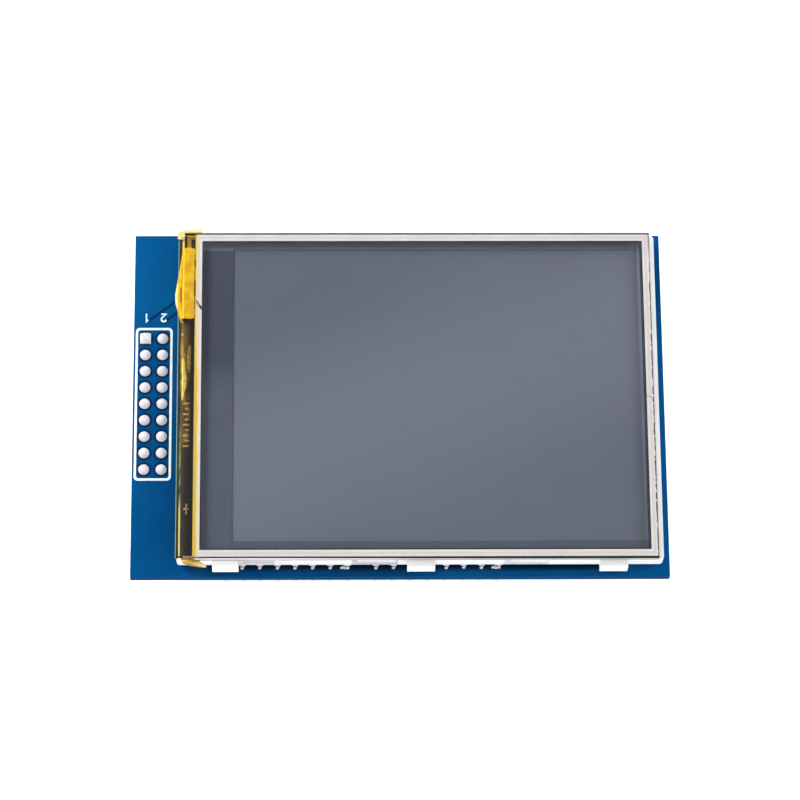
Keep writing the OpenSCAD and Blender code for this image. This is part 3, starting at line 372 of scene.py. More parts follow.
# mounting strips: closed-cell polyethylene foam with adhesive both sides, pale grey and finely pitted
foamLook = {"tones": ("c9cccd", "e0e2e2"), "patch": 1.1, "rough": (0.7, 0.9), "grain": 0.2, "relief": 0.03}
dress(makeFinish("polyethylene foam", foamLook), "mounting_tape")

# display frame: white polycarbonate, injection moulded, satin, with a painted glow that is stronger on faces
# turned up
frameLook = {"tones": ("e9e9e8", "f4f4f3"), "patch": 6, "rough": (0.32, 0.45), "grain": 0.25, "relief": 0.003,
             "ior": 1.58, "glow": ("fdfdff", 0.0), "paintedGlow": 0.22, "frontPaintedGlow": 0.07, "mark": "b9babf",
             "shadePatches": ((-23.4, -18.1, -25.0, -24.7), (-7.0, -0.4, -25.1, -24.85),
                       (15.0, 21.2, -25.45, -25.0)), "shadeRagged": 0.3, "shadeSoft": (-0.2, 0.12)}
frameFinish = makeFinish("white polycarbonate", frameLook)
tree = frameFinish["tree"]
x, y, z = axes(frameFinish)
up = facing(tree, 2)
# painted glow: emission on the frame, strongest on faces turned up, none on faces turned down
paintedGlow = add(tree, "MULTIPLY", add(tree, "Step", up, -0.3, -0.1),
           add(tree, "Step", up, 0.2, 0.7, frameLook["frontPaintedGlow"], frameLook["paintedGlow"]))
relink(frameFinish, "Emission Strength", paintedGlow)
colour = frameFinish["colour"]
for left, right, low, high in frameLook["shadePatches"]:  # painted grey shade on the front wall
    inset = insetFrom(tree, x, y, (left, low), (right, high))
    ragged = roughen(tree, inset, frameFinish["grain"], frameLook["shadeRagged"])
    colour = add(tree, "Blend", add(tree, "Step", ragged, *frameLook["shadeSoft"]), colour, frameLook["mark"])
recolour(frameFinish, colour)
dress(frameFinish, "backlight_frame")

# reflector: multilayer polyester film, a silvery white mirror
reflectorLook = {"tones": ("dfe3e6", "f2f4f6"), "patch": 8, "rough": (0.12, 0.2), "grain": 0.6,
                 "relief": 0.003, "metal": 1.0}
dress(makeFinish("reflector film", reflectorLook), "reflector_sheet")

# light guide: clear acrylic, moulded, with a field of tiny dots
guideLook = {"tones": ("e6eef0", "f3f8f9"), "patch": 5, "rough": (0.08, 0.2), "grain": 0.3, "relief": 0.008,
             "ior": 1.49}
dress(makeFinish("light-guide acrylic", guideLook), "light_guide")

# films over the guide: embossed polyester, milky with fine prism lines across the width
filmLook = {"tones": ("dde5e9", "eef2f4"), "patch": 10, "rough": (0.35, 0.5), "grain": 0.2, "relief": 0.01,
            "stretch": (0.05, 1, 1), "ior": 1.57}
dress(makeFinish("prism film", filmLook), "diffuser_film", "lower_prism_film", "upper_prism_film")

# lamps: white ceramic cups filled with yellow phosphor resin
lampLook = {"tones": ("f4efc9", "fbf8e4"), "patch": 0.9, "rough": (0.35, 0.5), "grain": 0.15, "relief": 0.004}
dress(makeFinish("phosphor resin", lampLook), "backlight_lamps")

# black tape: printed polyester with acrylic glue, matt and nearly black
tapeLook = {"tones": ("141416", "222327"), "patch": 3, "rough": (0.5, 0.7), "grain": 0.2, "relief": 0.003}
dress(makeFinish("black polyester tape", tapeLook), "rim_tape")

# border under the touch glass: black polyester tape wetted by clear glue, so it looks grey blue; lighter
# along the back and at the right, painted light that offsets the shade under the ring
borderLook = {"tones": ("44485a", "4b4f5c"), "patch": 40, "rough": (0.4, 0.55), "grain": 0.3, "relief": 0.002,
              "shine": 0.15, "paler": ("585c6b", "5e6271"), "palerFade": (7.5, -0.5),
              "outer": "0d0e10", "outerFade": (0.3, 0.5), "back": "787d90", "litBackFade": (22.6, 22.9),
              "right": "84899b", "litRightLow": "6e7383", "litRightFrom": 34.1, "frontTo": -22.3,
              "soft": 0.2, "lowFade": (-20, 12)}
borderFinish = makeFinish("glued black tape", borderLook)
tree = borderFinish["tree"]
ringLow, ringHigh = corners("spacer_ring")
x, y, z = axes(borderFinish)
paler = add(tree, "Blend", borderFinish["patches"], *borderLook["paler"])
colour = add(tree, "Blend", add(tree, "Step", y, *borderLook["palerFade"]),
             borderFinish["colour"], paler)
# painted light: a lighter band along the back edge
colour = add(tree, "Blend", add(tree, "Step", y, *borderLook["litBackFade"]), colour,
             borderLook["back"])
# painted light: a lighter band along the right, darker towards the front
right = add(tree, "MULTIPLY",
            add(tree, "Step", x, borderLook["litRightFrom"], borderLook["litRightFrom"] + borderLook["soft"]),
            add(tree, "Step", y, borderLook["frontTo"], borderLook["frontTo"] + borderLook["soft"]))
litRightTone = add(tree, "Blend", add(tree, "Step", y, *borderLook["lowFade"]),
                borderLook["litRightLow"], borderLook["right"])
colour = add(tree, "Blend", right, colour, litRightTone)
inner = add(tree, "Step", insetFrom(tree, x, y, ringLow, ringHigh), *borderLook["outerFade"])
recolour(borderFinish, add(tree, "Blend", inner, borderLook["outer"], colour))
dress(borderFinish, "touch_tape")

# cell: display glass, cut and ground, grey green at its edges
cellLook = {"tones": ("5d6b69", "74827f"), "patch": 9, "rough": (0.05, 0.12), "grain": 0.5, "relief": 0.001,
            "ior": 1.52}
dress(makeFinish("display glass", cellLook), "array_glass", "filter_glass")

# polariser: stretched film over the cell, with the picture area lighter than its black border, and a broad
# paler band along a slanted line, a painted reflection
polariserLook = {"tones": ("6a6f7b", "6f7481"), "patch": 60, "rough": (0.28, 0.33), "grain": 0.3,
                 "relief": 0.0004, "paler": "7c808e", "sheenAt": -1.8, "sheenSlope": 0.39,
                 "sheenFade": (2, 25), "front": "555b68", "frontFade": (-22.25, -22.0)}
polariserFinish = makeFinish("polariser film", polariserLook)
tree = polariserFinish["tree"]
x, y, z = axes(polariserFinish)
# painted reflection: paler along a slanted line across the picture, fading over 25 mm
offSheen = add(tree, "SUBTRACT", add(tree, "SUBTRACT", y, polariserLook["sheenAt"]),
               add(tree, "MULTIPLY", x, polariserLook["sheenSlope"]))
away = add(tree, "Step", add(tree, "ABSOLUTE", offSheen), *polariserLook["sheenFade"])
colour = add(tree, "Blend", away, polariserLook["paler"], polariserFinish["colour"])
behind = add(tree, "Step", y, *polariserLook["frontFade"])
recolour(polariserFinish, add(tree, "Blend", behind, polariserLook["front"], colour))
dress(polariserFinish, "front_polariser", "rear_polariser")

# driver chip: bare silicon, lapped to a dark mirror
siliconLook = {"tones": ("2c2f36", "41454e"), "patch": 2, "rough": (0.12, 0.2), "grain": 0.2,
               "relief": 0.001, "metal": 1.0}
dress(makeFinish("lapped silicon", siliconLook), "driver_chip")

# display flex: polyimide with copper under a dark cover coat, brown and gold where the coat is thin, with
# painted highlights along the fold and a painted teal reflection on the bend
flexLook = {"tones": ("1b1a16", "26241e"), "patch": 1.2, "rough": (0.4, 0.55), "grain": 0.3, "relief": 0.006,
            "shine": 0.15, "crease": 1.3, "brown": ("452c07", "6e4e12"), "brownFade": (-7.6, -6.6),
            "gold": "a37c1f", "goldFade": (10, 7.5), "bright": ("d8b445", "f0d468"), "wear": 2.0,
            "edge": "2a1604", "edgeFrom": -30.42, "fold": ("3a3714", "857a35"), "foldGlint": "d6bc58",
            "foldFrom": -32.0, "foldTo": -31.78, "lowFade": (-18.5, -14.5),
            "bend": ("10160c", "1d2814"), "rim": "7f9c96", "sheenTo": -32.38, "wave": 0.14, "lean": 0.12,
            "patches": (((-30.68, 6.0), (0.3, 2.0)), ((-31.72, 23.0), (0.17, 2.4)),
                        ((-31.62, 4.6), (0.3, 1.7)), ((-31.5, 2.9), (0.42, 1.7)),
                        ((-31.62, 1.4), (0.26, 1.6)), ((-31.74, 9.9), (0.1, 0.25)),
                        ((-31.72, 11.75), (0.08, 0.2)))}
flexFinish = makeFinish("coated polyimide", flexLook)
tree = flexFinish["tree"]
x, y, z = axes(flexFinish)
lengthwise = add(tree, "Mapping", {"Vector": flexFinish["place"], "Scale": (1, 0.45, 1)})
creases = add(tree, "TexNoise", {"Vector": lengthwise, "Scale": perMetre(flexLook["crease"]), "Detail": 3.0,
                                 "Distortion": 0.5})
brown = add(tree, "Blend", add(tree, "Step", creases, 0.32, 0.56), *flexLook["brown"])
goldShare = add(tree, "MULTIPLY", add(tree, "Step", creases, 0.5, 0.62),
                add(tree, "Step", y, *flexLook["goldFade"]))
brown = add(tree, "Blend", goldShare, brown, flexLook["gold"])
colour = add(tree, "Blend", add(tree, "Step", y, *flexLook["brownFade"]),
             flexFinish["colour"], brown)
bright = add(tree, "Blend", add(tree, "Step", flexFinish["grain"], 0.4, 0.6), *flexLook["bright"])
for centre, size in flexLook["patches"]:  # pale gold patches with ragged edges: the coat worn thin at the first, painted glints along the panel's left edge at the rest
    offX = add(tree, "DIVIDE", add(tree, "SUBTRACT", x, centre[0]), size[0])
    offY = add(tree, "DIVIDE", add(tree, "SUBTRACT", y, centre[1]), size[1])
    away = roughen(tree, squares(tree, offX, offY), creases, flexLook["wear"])
    thinCoatAndGlint = add(tree, "Step", away, 0.9, 1.3, 1.0, 0.0)
    colour = add(tree, "Blend", thinCoatAndGlint, colour, bright)
pastEdge = add(tree, "Step", x, flexLook["edgeFrom"] - 0.1, flexLook["edgeFrom"])
colour = add(tree, "Blend", pastEdge, colour, flexLook["edge"])
# along the fold at the panel's left edge: olive with a painted gold highlight, brightest towards the front
fold = add(tree, "Blend", add(tree, "Step", creases, 0.38, 0.62), *flexLook["fold"])
inFront = add(tree, "Step", y, *flexLook["lowFade"], 1.0, 0.0)
fold = add(tree, "Blend", inFront, fold, flexLook["foldGlint"])
# the outside of the bend: dark olive, with a painted teal reflection along its outermost edge
bend = add(tree, "Blend", add(tree, "Step", creases, 0.4, 0.6), *flexLook["bend"])
bendSheen = add(tree, "Step", x, flexLook["sheenTo"] + 0.06, flexLook["sheenTo"] - 0.06)
bend = add(tree, "Blend", bendSheen, bend, flexLook["rim"])
wavy = add(tree, "SUBTRACT", roughen(tree, x, creases, flexLook["wave"]),
           add(tree, "Step", y, 6, 12, 0.0, flexLook["lean"]))
folded = add(tree, "MULTIPLY", add(tree, "Step", y, 8.5, 6.5),
             add(tree, "Step", wavy, flexLook["foldTo"] + 0.04, flexLook["foldTo"] - 0.04))
colour = add(tree, "Blend", folded, colour, fold)
level = add(tree, "Step", wavy, flexLook["foldFrom"] - 0.05, flexLook["foldFrom"] + 0.05)
recolour(flexFinish, add(tree, "Blend", level, bend, colour))
dress(flexFinish, "display_flex", "lamp_strip")

# ledge foam: soft acrylic adhesive strip gone yellow
ledgeLook = {"tones": ("d8bd55", "e4cf7a"), "patch": 5, "rough": (0.5, 0.7), "grain": 0.2, "relief": 0.01}
dress(makeFinish("adhesive foam", ledgeLook), "ledge_foam")

# edge film: amber polyimide, nearly clear over the flex, gold at the back corner, pale where it hangs out
edgeLook = {"tones": ("cf8f14", "e2a62a"), "patch": 0.35, "rough": (0.3, 0.45), "grain": 0.3, "relief": 0.01,
            "ior": 1.66, "shine": 0.2, "amber": ("7a4a10", "b07a24"), "pale": ("f3e37c", "faeda0"),
            "edge": "2e1604", "edgeTo": -31.12, "goldFade": (22.2, 22.5), "litBackFade": (25.1, 25.25),
            "amberFade": (-24.6, -24.8), "frontFade": (-25.0, -25.25), "sideFade": (-31.44, -31.56),
            "through": 0.012, "paleCover": 0.72}
edgeFinish = makeFinish("amber polyimide", edgeLook)
tree = edgeFinish["tree"]
x, y, z = axes(edgeFinish)
gold = add(tree, "Step", y, *edgeLook["goldFade"])
amber = add(tree, "Step", y, *edgeLook["amberFade"])
hanging = add(tree, "ADD", add(tree, "Step", y, *edgeLook["litBackFade"]),
              add(tree, "Step", y, *edgeLook["frontFade"]))
hanging = add(tree, "MAXIMUM", hanging, add(tree, "Step", x, *edgeLook["sideFade"]))
line = add(tree, "MULTIPLY", gold, add(tree, "Step", x, edgeLook["edgeTo"] + 0.05, edgeLook["edgeTo"] - 0.05))
colour = add(tree, "Blend", line, edgeFinish["colour"], edgeLook["edge"])
colour = add(tree, "Blend", amber, colour, add(tree, "Blend", edgeFinish["patches"], *edgeLook["amber"]))
colour = add(tree, "Blend", hanging, colour, add(tree, "Blend", edgeFinish["patches"], *edgeLook["pale"]))
recolour(edgeFinish, colour)
cover = add(tree, "MAXIMUM", add(tree, "MAXIMUM", gold, amber), edgeLook["through"])
cover = add(tree, "ADD", add(tree, "MULTIPLY", cover, add(tree, "SUBTRACT", 1.0, hanging)),
            add(tree, "MULTIPLY", hanging, edgeLook["paleCover"]))
relink(edgeFinish, "Alpha", cover)
dress(edgeFinish, "edge_film")

# touch tail and its wrap: yellow polyimide tape, softly creased and glossy, with a painted highlight along
# the turn and a pale painted highlight at its outer edge
tailLook = {"tones": ("cb9600", "ddb000"), "patch": 1.4, "rough": (0.45, 0.6), "grain": 0.35, "relief": 0.03,
            "ior": 1.6, "shine": 0.15, "glint": "fbd417", "sheenAt": -31.6, "glintWidth": 0.2,
            "outer": "dfe08a", "outerFade": (-32.4, -32.58), "paleGlintRagged": 0.5,
            "spot": "a8560a", "spotRows": (14.4, 16.3), "spotSides": (-32.05, -31.93)}
tailFinish = makeFinish("yellow polyimide tape", tailLook)
tree = tailFinish["tree"]
x, y, z = axes(tailFinish)
# painted highlight: a bright yellow line where the tape turns down
offSheen = add(tree, "ABSOLUTE", add(tree, "SUBTRACT", x, tailLook["sheenAt"]))
glint = add(tree, "Step", offSheen, 0.0, tailLook["glintWidth"], 1.0, 0.0)
colour = add(tree, "Blend", glint, tailFinish["colour"], tailLook["glint"])
spot = add(tree, "MULTIPLY", between(tree, y, *tailLook["spotRows"], 0.4, 0.6),
           between(tree, x, *tailLook["spotSides"], 0.2, 0.16))
colour = add(tree, "Blend", spot, colour, tailLook["spot"])
# painted highlight: pale at the outer edge, ragged
ragged = roughen(tree, x, tailFinish["grain"], tailLook["paleGlintRagged"])
outer = add(tree, "Step", ragged, *tailLook["outerFade"])
recolour(tailFinish, add(tree, "Blend", outer, colour, tailLook["outer"]))
dress(tailFinish, "touch_tail", "tail_wrap")

# spacer ring: double-sided tape with silver ink, greyer along its middle, its glue yellowed at the left
ringLook = {"tones": ("dbd5cf", "e3ddd6"), "patch": 4, "rough": (0.4, 0.55), "grain": 0.3, "relief": 0.004,
            "line": "d2cdc6", "lineSpan": (0.4, 0.62), "lineSoft": 0.1, "waver": 3, "chip": 0.9,
            "yellow": ("cfae36", "d8ba4c"), "yellowWidths": (0.46, 0.16), "yellowFade": (-1, 12.5),
            "cream": "e6d28f", "creamWidth": 0.5, "width": 1.0, "brown": "54402f",
            "brownWidth": 0.13, "greyBack": "8b8a88", "greyFade": (18, 21)}
ringFinish = makeFinish("silver-white adhesive", ringLook)
tree = ringFinish["tree"]
x, y, z = axes(ringFinish)
middle = between(tree, insetFrom(tree, x, y, ringLow, ringHigh), *ringLook["lineSpan"],
                 ringLook["lineSoft"], ringLook["lineSoft"])
colour = add(tree, "Blend", middle, ringFinish["colour"], ringLook["line"])
wavering, chips = (add(tree, "TexNoise", {"Vector": ringFinish["place"], "Scale": perMetre(ringLook[size]),
                                          "Detail": 2.0}) for size in ("waver", "chip"))
fromLeft = add(tree, "SUBTRACT", x, ringLow.x)
reach = add(tree, "MULTIPLY", add(tree, "Step", y, *ringLook["yellowFade"],
                                  *ringLook["yellowWidths"]),
            add(tree, "Step", wavering, 0.3, 0.7, 0.88, 1.12))
past = add(tree, "SUBTRACT", fromLeft, reach)
cream = add(tree, "Blend", add(tree, "Step", past, 0.1, ringLook["creamWidth"]), ringLook["cream"], colour)
stained = add(tree, "Blend", add(tree, "Step", past, -0.06, 0.08),
              add(tree, "Blend", wavering, *ringLook["yellow"]), cream)
colour = add(tree, "Blend", add(tree, "Step", fromLeft, ringLook["width"], ringLook["width"] + 0.02),
             stained, colour)
reach = add(tree, "MULTIPLY", add(tree, "MULTIPLY", add(tree, "Step", wavering, 0.3, 0.7, 0.5, 1.3),
                                  add(tree, "Step", chips, 0.4, 0.5, 0.1, 1.0)), ringLook["brownWidth"])
past = add(tree, "SUBTRACT", add(tree, "SUBTRACT", ringHigh.x, x), reach)
lineTone = add(tree, "Blend", add(tree, "Step", y, *ringLook["greyFade"]),
               ringLook["brown"], ringLook["greyBack"])
recolour(ringFinish, add(tree, "Blend", add(tree, "Step", past, -0.03, 0.03), lineTone, colour))
dress(ringFinish, "spacer_ring")

# clear layers: see-through, front faces mirror a little; the long cut edges are painted opaque, dark at the
# top as painted shade and pale lower down where the white frame would show through
clearEdge = {"rim": "0c0b0a", "rimLeft": "2a1503", "rimLow": "dcdcda", "rimLowLeft": "8f6118", "rough": 0.6,
             "shine": 0.1, "leftFade": (-29.9, -29.3), "darkFade": (-28, 24)}


def makeClear(name, look):
    finish = makeFinish(name, look)
    tree, surface = finish["tree"], finish["surface"]
    front = add(tree, "SUBTRACT", 1.0, add(tree, "NewGeometry").node.outputs["Backfacing"])
    mirror = add(tree, "MULTIPLY", add(tree, "Fresnel", {"IOR": look["ior"]}), front)
    normal = surface.inputs["Normal"].links[0].from_socket
    shine = add(tree, "BsdfGlossy", {"Roughness": look["gloss"], "Normal": normal})
    clear = add(tree, "BsdfTransparent", look["tint"])
    hazy = add(tree, "MixShader", look["haze"], clear, surface.outputs[0])
    face = add(tree, "MixShader", mirror, hazy, shine)
    x, y, z = axes(finish)
    dark = add(tree, "Step", x, *clearEdge["darkFade"], *look["dark"])
    dark = add(tree, "MULTIPLY", dark, add(tree, "Step", y, 0.0, 1, 1.0, 0.0))  # all of it along the back
    left = add(tree, "Step", x, *clearEdge["leftFade"])
    rim = add(tree, "Blend", add(tree, "Step", add(tree, "SUBTRACT", z, dark), -0.1, 0.1),
              add(tree, "Blend", left, clearEdge["rimLowLeft"], clearEdge["rimLow"]),
              add(tree, "Blend", left, clearEdge["rimLeft"], clearEdge["rim"]))
    paintedEdge = add(tree, "BsdfPrincipled", {"Base Color": rim, "Roughness": clearEdge["rough"],
                                         "Specular IOR Level": clearEdge["shine"]})
    longEdge = add(tree, "Step", add(tree, "ABSOLUTE", facing(tree, 1, "True Normal")), 0.4, 0.6)
    show(tree, add(tree, "MixShader", longEdge, face, paintedEdge))
    return finish


# touch glass: float glass, clear with a trace of green
touchGlassLook = {"tones": ("9fb0ab", "b4c3bf"), "patch": 20, "rough": (0.05, 0.1), "grain": 2,
                  "relief": 0.0005, "ior": 1.52, "tint": "fcfdfc", "gloss": 0.08, "haze": 0.002,
                  "dark": (14.3, 13.75)}
dress(makeClear("float glass", touchGlassLook), "touch_glass")

# touch film: hard-coated polyester, clear with a faint cool haze
touchFilmLook = {"tones": ("99a1b0", "aab2c0"), "patch": 45, "rough": (0.2, 0.3), "grain": 1.5,
                 "relief": 0.0008, "ior": 1.5, "tint": "fdfdfe", "gloss": 0.1, "haze": 0.012,
                 "dark": (13.4, 13.4)}
dress(makeClear("hard-coated polyester", touchFilmLook), "touch_film")
print("display dressed")

# glue along the inside of the ring: acrylic, clear but dark over the black tape, its dark line also painted
# shade under the ring's inner edge; the strip in the ring's vent is painted shadow
glueAndShadeLook = {"tones": ("23242b", "30323a"), "patch": 6, "rough": (0.3, 0.45), "grain": 0.4, "relief": 0.004,
            "inset": 1.13, "width": 0.26, "low": 14.475, "high": 14.495, "beadIn": 0.22, "beadShort": 0.17,
            "bead": 0.14, "vent": ((-29.72, 14.5), (-29.2, 13.7), (-28.86, 13.12)), "ventWidth": 0.15,
            "ventEnd": 0.28, "ventLow": 14.545, "ventHigh": 14.575, "endHigh": 14.58}
glueAndShadeFinish = makeFinish("acrylic glue line and shade", glueAndShadeLook)
lowX, highX = ringLow.x + glueAndShadeLook["inset"], ringHigh.x - glueAndShadeLook["inset"]
lowY, highY = ringLow.y + glueAndShadeLook["inset"], ringHigh.y - glueAndShadeLook["inset"]
beadX = highX - glueAndShadeLook["beadIn"]
shape = bmesh.new()
addStrip(shape, frameLine(lowX, lowY, highX, highY), glueAndShadeLook["width"], glueAndShadeLook["low"], glueAndShadeLook["high"])
addStrip(shape, ((beadX, lowY + glueAndShadeLook["beadShort"]), (beadX, highY - glueAndShadeLook["beadShort"])),
         glueAndShadeLook["bead"], glueAndShadeLook["low"], glueAndShadeLook["high"])
# painted shadow: a dark strip filling the vent cut through the ring
addStrip(shape, glueAndShadeLook["vent"], glueAndShadeLook["ventWidth"], glueAndShadeLook["ventLow"], glueAndShadeLook["ventHigh"])
addStrip(shape, glueAndShadeLook["vent"][1:], glueAndShadeLook["ventEnd"], glueAndShadeLook["ventLow"], glueAndShadeLook["endHigh"])
addPiece("ring_glue_and_shade", shape, glueAndShadeFinish)

# slits beside the tail: dark brown strips of painted shadow at the polyester edges
slitLook = {"tones": ("3c2204", "6a3f08"), "patch": 0.8, "rough": (0.5, 0.7), "grain": 0.2, "relief": 0.004,
            "gaps": (((-29.92, 20.8), (-29.92, 19.8)), ((-29.93, 17.7), (-29.93, 16.4), (-29.94, 15.2))),
            "gap": 0.2, "low": 14.545, "high": 14.58}
slitFinish = makeFinish("shaded tape edge", slitLook)
shape = bmesh.new()
for line in slitLook["gaps"]:
    addStrip(shape, line, slitLook["gap"], slitLook["low"], slitLook["high"])
addPiece("tape_slits", shape, slitFinish)

# tail patch: the wide end of the touch tail between glass and film, yellow with soft corners
patchLook = {"low": 14.552, "high": 14.57,
             "outline": ((-31.49, 22.1), (-31.49, 22.6), (-31.16, 22.86), (-30.5, 22.82), (-30.2, 22.5),
                         (-30.08, 21.5), (-30.0, 19.6), (-30.07, 17.7), (-30.1, 15.8), (-30.05, 13.9),
                         (-29.94, 12.7), (-30.0, 11.85), (-30.45, 11.6), (-31.1, 11.65), (-31.45, 12.0))}
shape = bmesh.new()
addPlate(shape, patchLook["outline"], patchLook["low"], patchLook["high"])
addPiece("tail_patch", shape, tailFinish)

# folded film at the front corner: amber polyimide turned over the frame, brown in the crease and pale outside
foldLook = {"tones": ("a06c18", "c08a2a"), "patch": 0.5, "rough": (0.3, 0.42), "grain": 0.4, "relief": 0.01,
            "ior": 1.66, "shine": 0.3, "gold": "f2cc58", "pale": "fff2ac", "outer": "cfa648", "low": 13.34,
            "high": 13.37, "crest": ((-31.62, -25.2), (-27.9, -26.12)), "ragged": 0.2,
            "steps": (0.03, 0.08, 0.13, 0.4, 0.62),
            "outline": ((-31.62, -24.7), (-31.58, -25.12), (-31.12, -25.55), (-30.24, -25.8),
                        (-29.23, -25.94), (-28.23, -26.08), (-27.87, -25.97), (-28.02, -25.78),
                        (-28.88, -25.5), (-29.67, -25.27), (-29.8, -24.97), (-29.9, -24.7))}
foldFinish = makeFinish("folded amber polyimide", foldLook)
tree = foldFinish["tree"]
x, y, z = axes(foldFinish)
off = roughen(tree, fromLine(tree, x, y, *foldLook["crest"])[1], foldFinish["patches"], foldLook["ragged"])
outerTo, paleFrom, paleTo, goldTo, amberFrom = foldLook["steps"]
colour = add(tree, "Blend", add(tree, "Step", off, outerTo, paleFrom), foldLook["outer"], foldLook["pale"])
colour = add(tree, "Blend", add(tree, "Step", off, paleTo, goldTo), colour, foldLook["gold"])
amber = add(tree, "Step", off, goldTo, amberFrom)
recolour(foldFinish, add(tree, "Blend", amber, colour, foldFinish["colour"]))
shape = bmesh.new()
addPlate(shape, foldLook["outline"], foldLook["low"], foldLook["high"])
addPiece("film_fold", shape, foldFinish)

# film corner: the same film curled down at the back corner, pale where the table shines through
curlLook = {"tones": ("f1e6a6", "faf1c8"), "patch": 0.6, "rough": (0.2, 0.34), "grain": 0.4, "relief": 0.008,
            "ior": 1.66, "high": 13.34,
            "outline": ((-32.62, 25.75), (-31.5, 26.05), (-31.46, 24.85), (-32.05, 24.78), (-32.62, 24.9)),
            "heights": (13.3, 13.3, 13.1, 12.86, 12.8)}
curlFinish = makeFinish("curled amber polyimide", curlLook)
shape = bmesh.new()
addPlate(shape, curlLook["outline"], curlLook["heights"], curlLook["high"])
addPiece("film_curl", shape, curlFinish)

# window in the flex beside the ring, and the line along the panel's corner: dark plates of painted shade
windowLook = {"tones": ("341c04", "553207"), "shine": 0.1, "patch": 0.4, "rough": (0.4, 0.6), "grain": 0.1,
              "relief": 0.004, "strips": ((((-30.56, 23.75), (-29.95, 23.75)), 1.66),
                                          (((-31.42, 22.7), (-31.42, 25.12)), 0.26)),
              "low": 13.335, "high": 13.35}
windowFinish = makeFinish("shaded copper", windowLook)
shape = bmesh.new()
for line, width in windowLook["strips"]:
    addStrip(shape, line, width, windowLook["low"], windowLook["high"])
addPiece("flex_window", shape, windowFinish)

# small gold ticks on the flex: plated copper marks, plain bars and a cross
tickLook = {"tones": ("d8b04c", "f2d680"), "patch": 0.4, "rough": (0.4, 0.55), "grain": 0.08, "relief": 0.002,
            "metal": 0.2, "bars": 9, "from": -0.9, "step": 0.82, "left": -31.5, "right": -30.55, "short": 0.3,
            "width": 0.3, "low": 12.742, "high": 12.752, "crossWidth": 0.24,
            "cross": (((-31.3, -17.05), (-30.5, -17.05)), ((-30.9, -17.85), (-30.9, -17.17)),
                      ((-30.9, -16.93), (-30.9, -16.25)))}
tickFinish = makeFinish("plated copper mark", tickLook)
shape = bmesh.new()
for k in range(tickLook["bars"]):
    barY = tickLook["from"] - k * tickLook["step"]
    addStrip(shape, ((tickLook["left"] + tickLook["short"] * (k % 2), barY), (tickLook["right"], barY)),
             tickLook["width"], tickLook["low"], tickLook["high"])
for line in tickLook["cross"]:
    addStrip(shape, line, tickLook["crossWidth"], tickLook["low"], tickLook["high"])
addPiece("flex_ticks", shape, tickFinish)


def pinAt(row, k=0):  # middle of a pin in a row, counted from its left front corner
    low = corners(row)[0]
    return low.x + pinHalf + pinPitch * k, low.y + pinHalf


# a solder lobe in front of each pin of the front rows, with a short tail up to the right; the tails are
# painted highlights made of solder, and the lobes' glowing faces stand in for the bright fronts of the joints
lobeLook = {"ahead": 1.05, "dome": (0.26, 0.2, 0.24), "tail": ((0.1, 0.05), (0.42, 0.42)), "tailWidth": 0.13,
           "tailHigh": 0.1, "sunk": 0.01, "pins": 8, "linked": 7, "links": (0, -0.42, -0.85), "spread": 0.04}
shape = bmesh.new()
for row in ("low_signal_pins", "high_signal_pins"):
    for k in range(lobeLook["pins"]):
        pinX, pinY = pinAt(row, k)
        for shift in lobeLook["links"] if k == lobeLook["linked"] else (0,):
            aside = dice.uniform(-lobeLook["spread"], lobeLook["spread"])
            spot = (pinX + shift, pinY - lobeLook["ahead"] + aside)
            addDome(shape, (*spot, boardHigh - lobeLook["sunk"]), lobeLook["dome"])
        tail = [(spot[0] + q[0], spot[1] + q[1]) for q in lobeLook["tail"]]
        addStrip(shape, tail, lobeLook["tailWidth"], boardHigh, boardHigh + lobeLook["tailHigh"])
addPiece("solder_lobes_and_glints", shape, solderFinish, smooth=True)

# plain pin numbers beside the side header, in the same ink as its outline, facing the back edge
digitLook = {"width": 0.24, "tall": 1.25, "wide": 0.8, "thick": 0.03,
             "digits": {(-36.75, 14.1): (((0.25, 0.75), (0.55, 1.0), (0.55, 0.0)),),
                        (-34.25, 14.1): (((0.05, 0.75), (0.2, 0.95), (0.5, 1.0), (0.8, 0.92), (0.92, 0.72),
                                          (0.8, 0.5), (0.08, 0.06), (0.95, 0.06)),)}}
shape = bmesh.new()
for start, strokes in digitLook["digits"].items():
    for stroke in strokes:
        line = [(start[0] - q[0] * digitLook["wide"], start[1] - q[1] * digitLook["tall"]) for q in stroke]
        addStrip(shape, line, digitLook["width"], boardHigh, boardHigh + digitLook["thick"])
addPiece("pin_numbers", shape, inkFinish)
print("edges, films and print added")

# card socket: stamped stainless shell over a black liquid-crystal-polymer base
steelLook = {"tones": ("b9bcbf", "d3d5d7"), "patch": 3, "rough": (0.22, 0.36), "grain": 0.25, "relief": 0.002,
             "metal": 1.0, "stretch": (0.06, 1, 1)}
dress(makeFinish("stamped stainless steel", steelLook), "card_socket_cover")
polymerLook = {"tones": ("17171a", "232326"), "patch": 2, "rough": (0.4, 0.55), "grain": 0.15,
               "relief": 0.004}
dress(makeFinish("liquid-crystal polymer", polymerLook), "card_socket_base")
dress(goldFinish, "card_socket_contacts")

# chips: epoxy moulding compound, sandy matt dark grey from the mould
epoxyLook = {"tones": ("1a1b1d", "27282b"), "patch": 1.2, "rough": (0.5, 0.7), "grain": 0.08, "relief": 0.006}
dress(makeFinish("moulding epoxy", epoxyLook), "level_shifter_bodies", "regulator_body")

# leads and pads: tin-plated copper, dull silver
tinLook = {"tones": ("c4c6c8", "dcdddf"), "patch": 0.5, "rough": (0.25, 0.42), "grain": 0.1, "relief": 0.003,
           "metal": 1.0}
dress(makeFinish("tin-plated copper", tinLook), "level_shifter_leads", "regulator_leads", "resistor_ends",
      "capacitor_ends", "moulded_capacitor_leads", "soldering_pads")

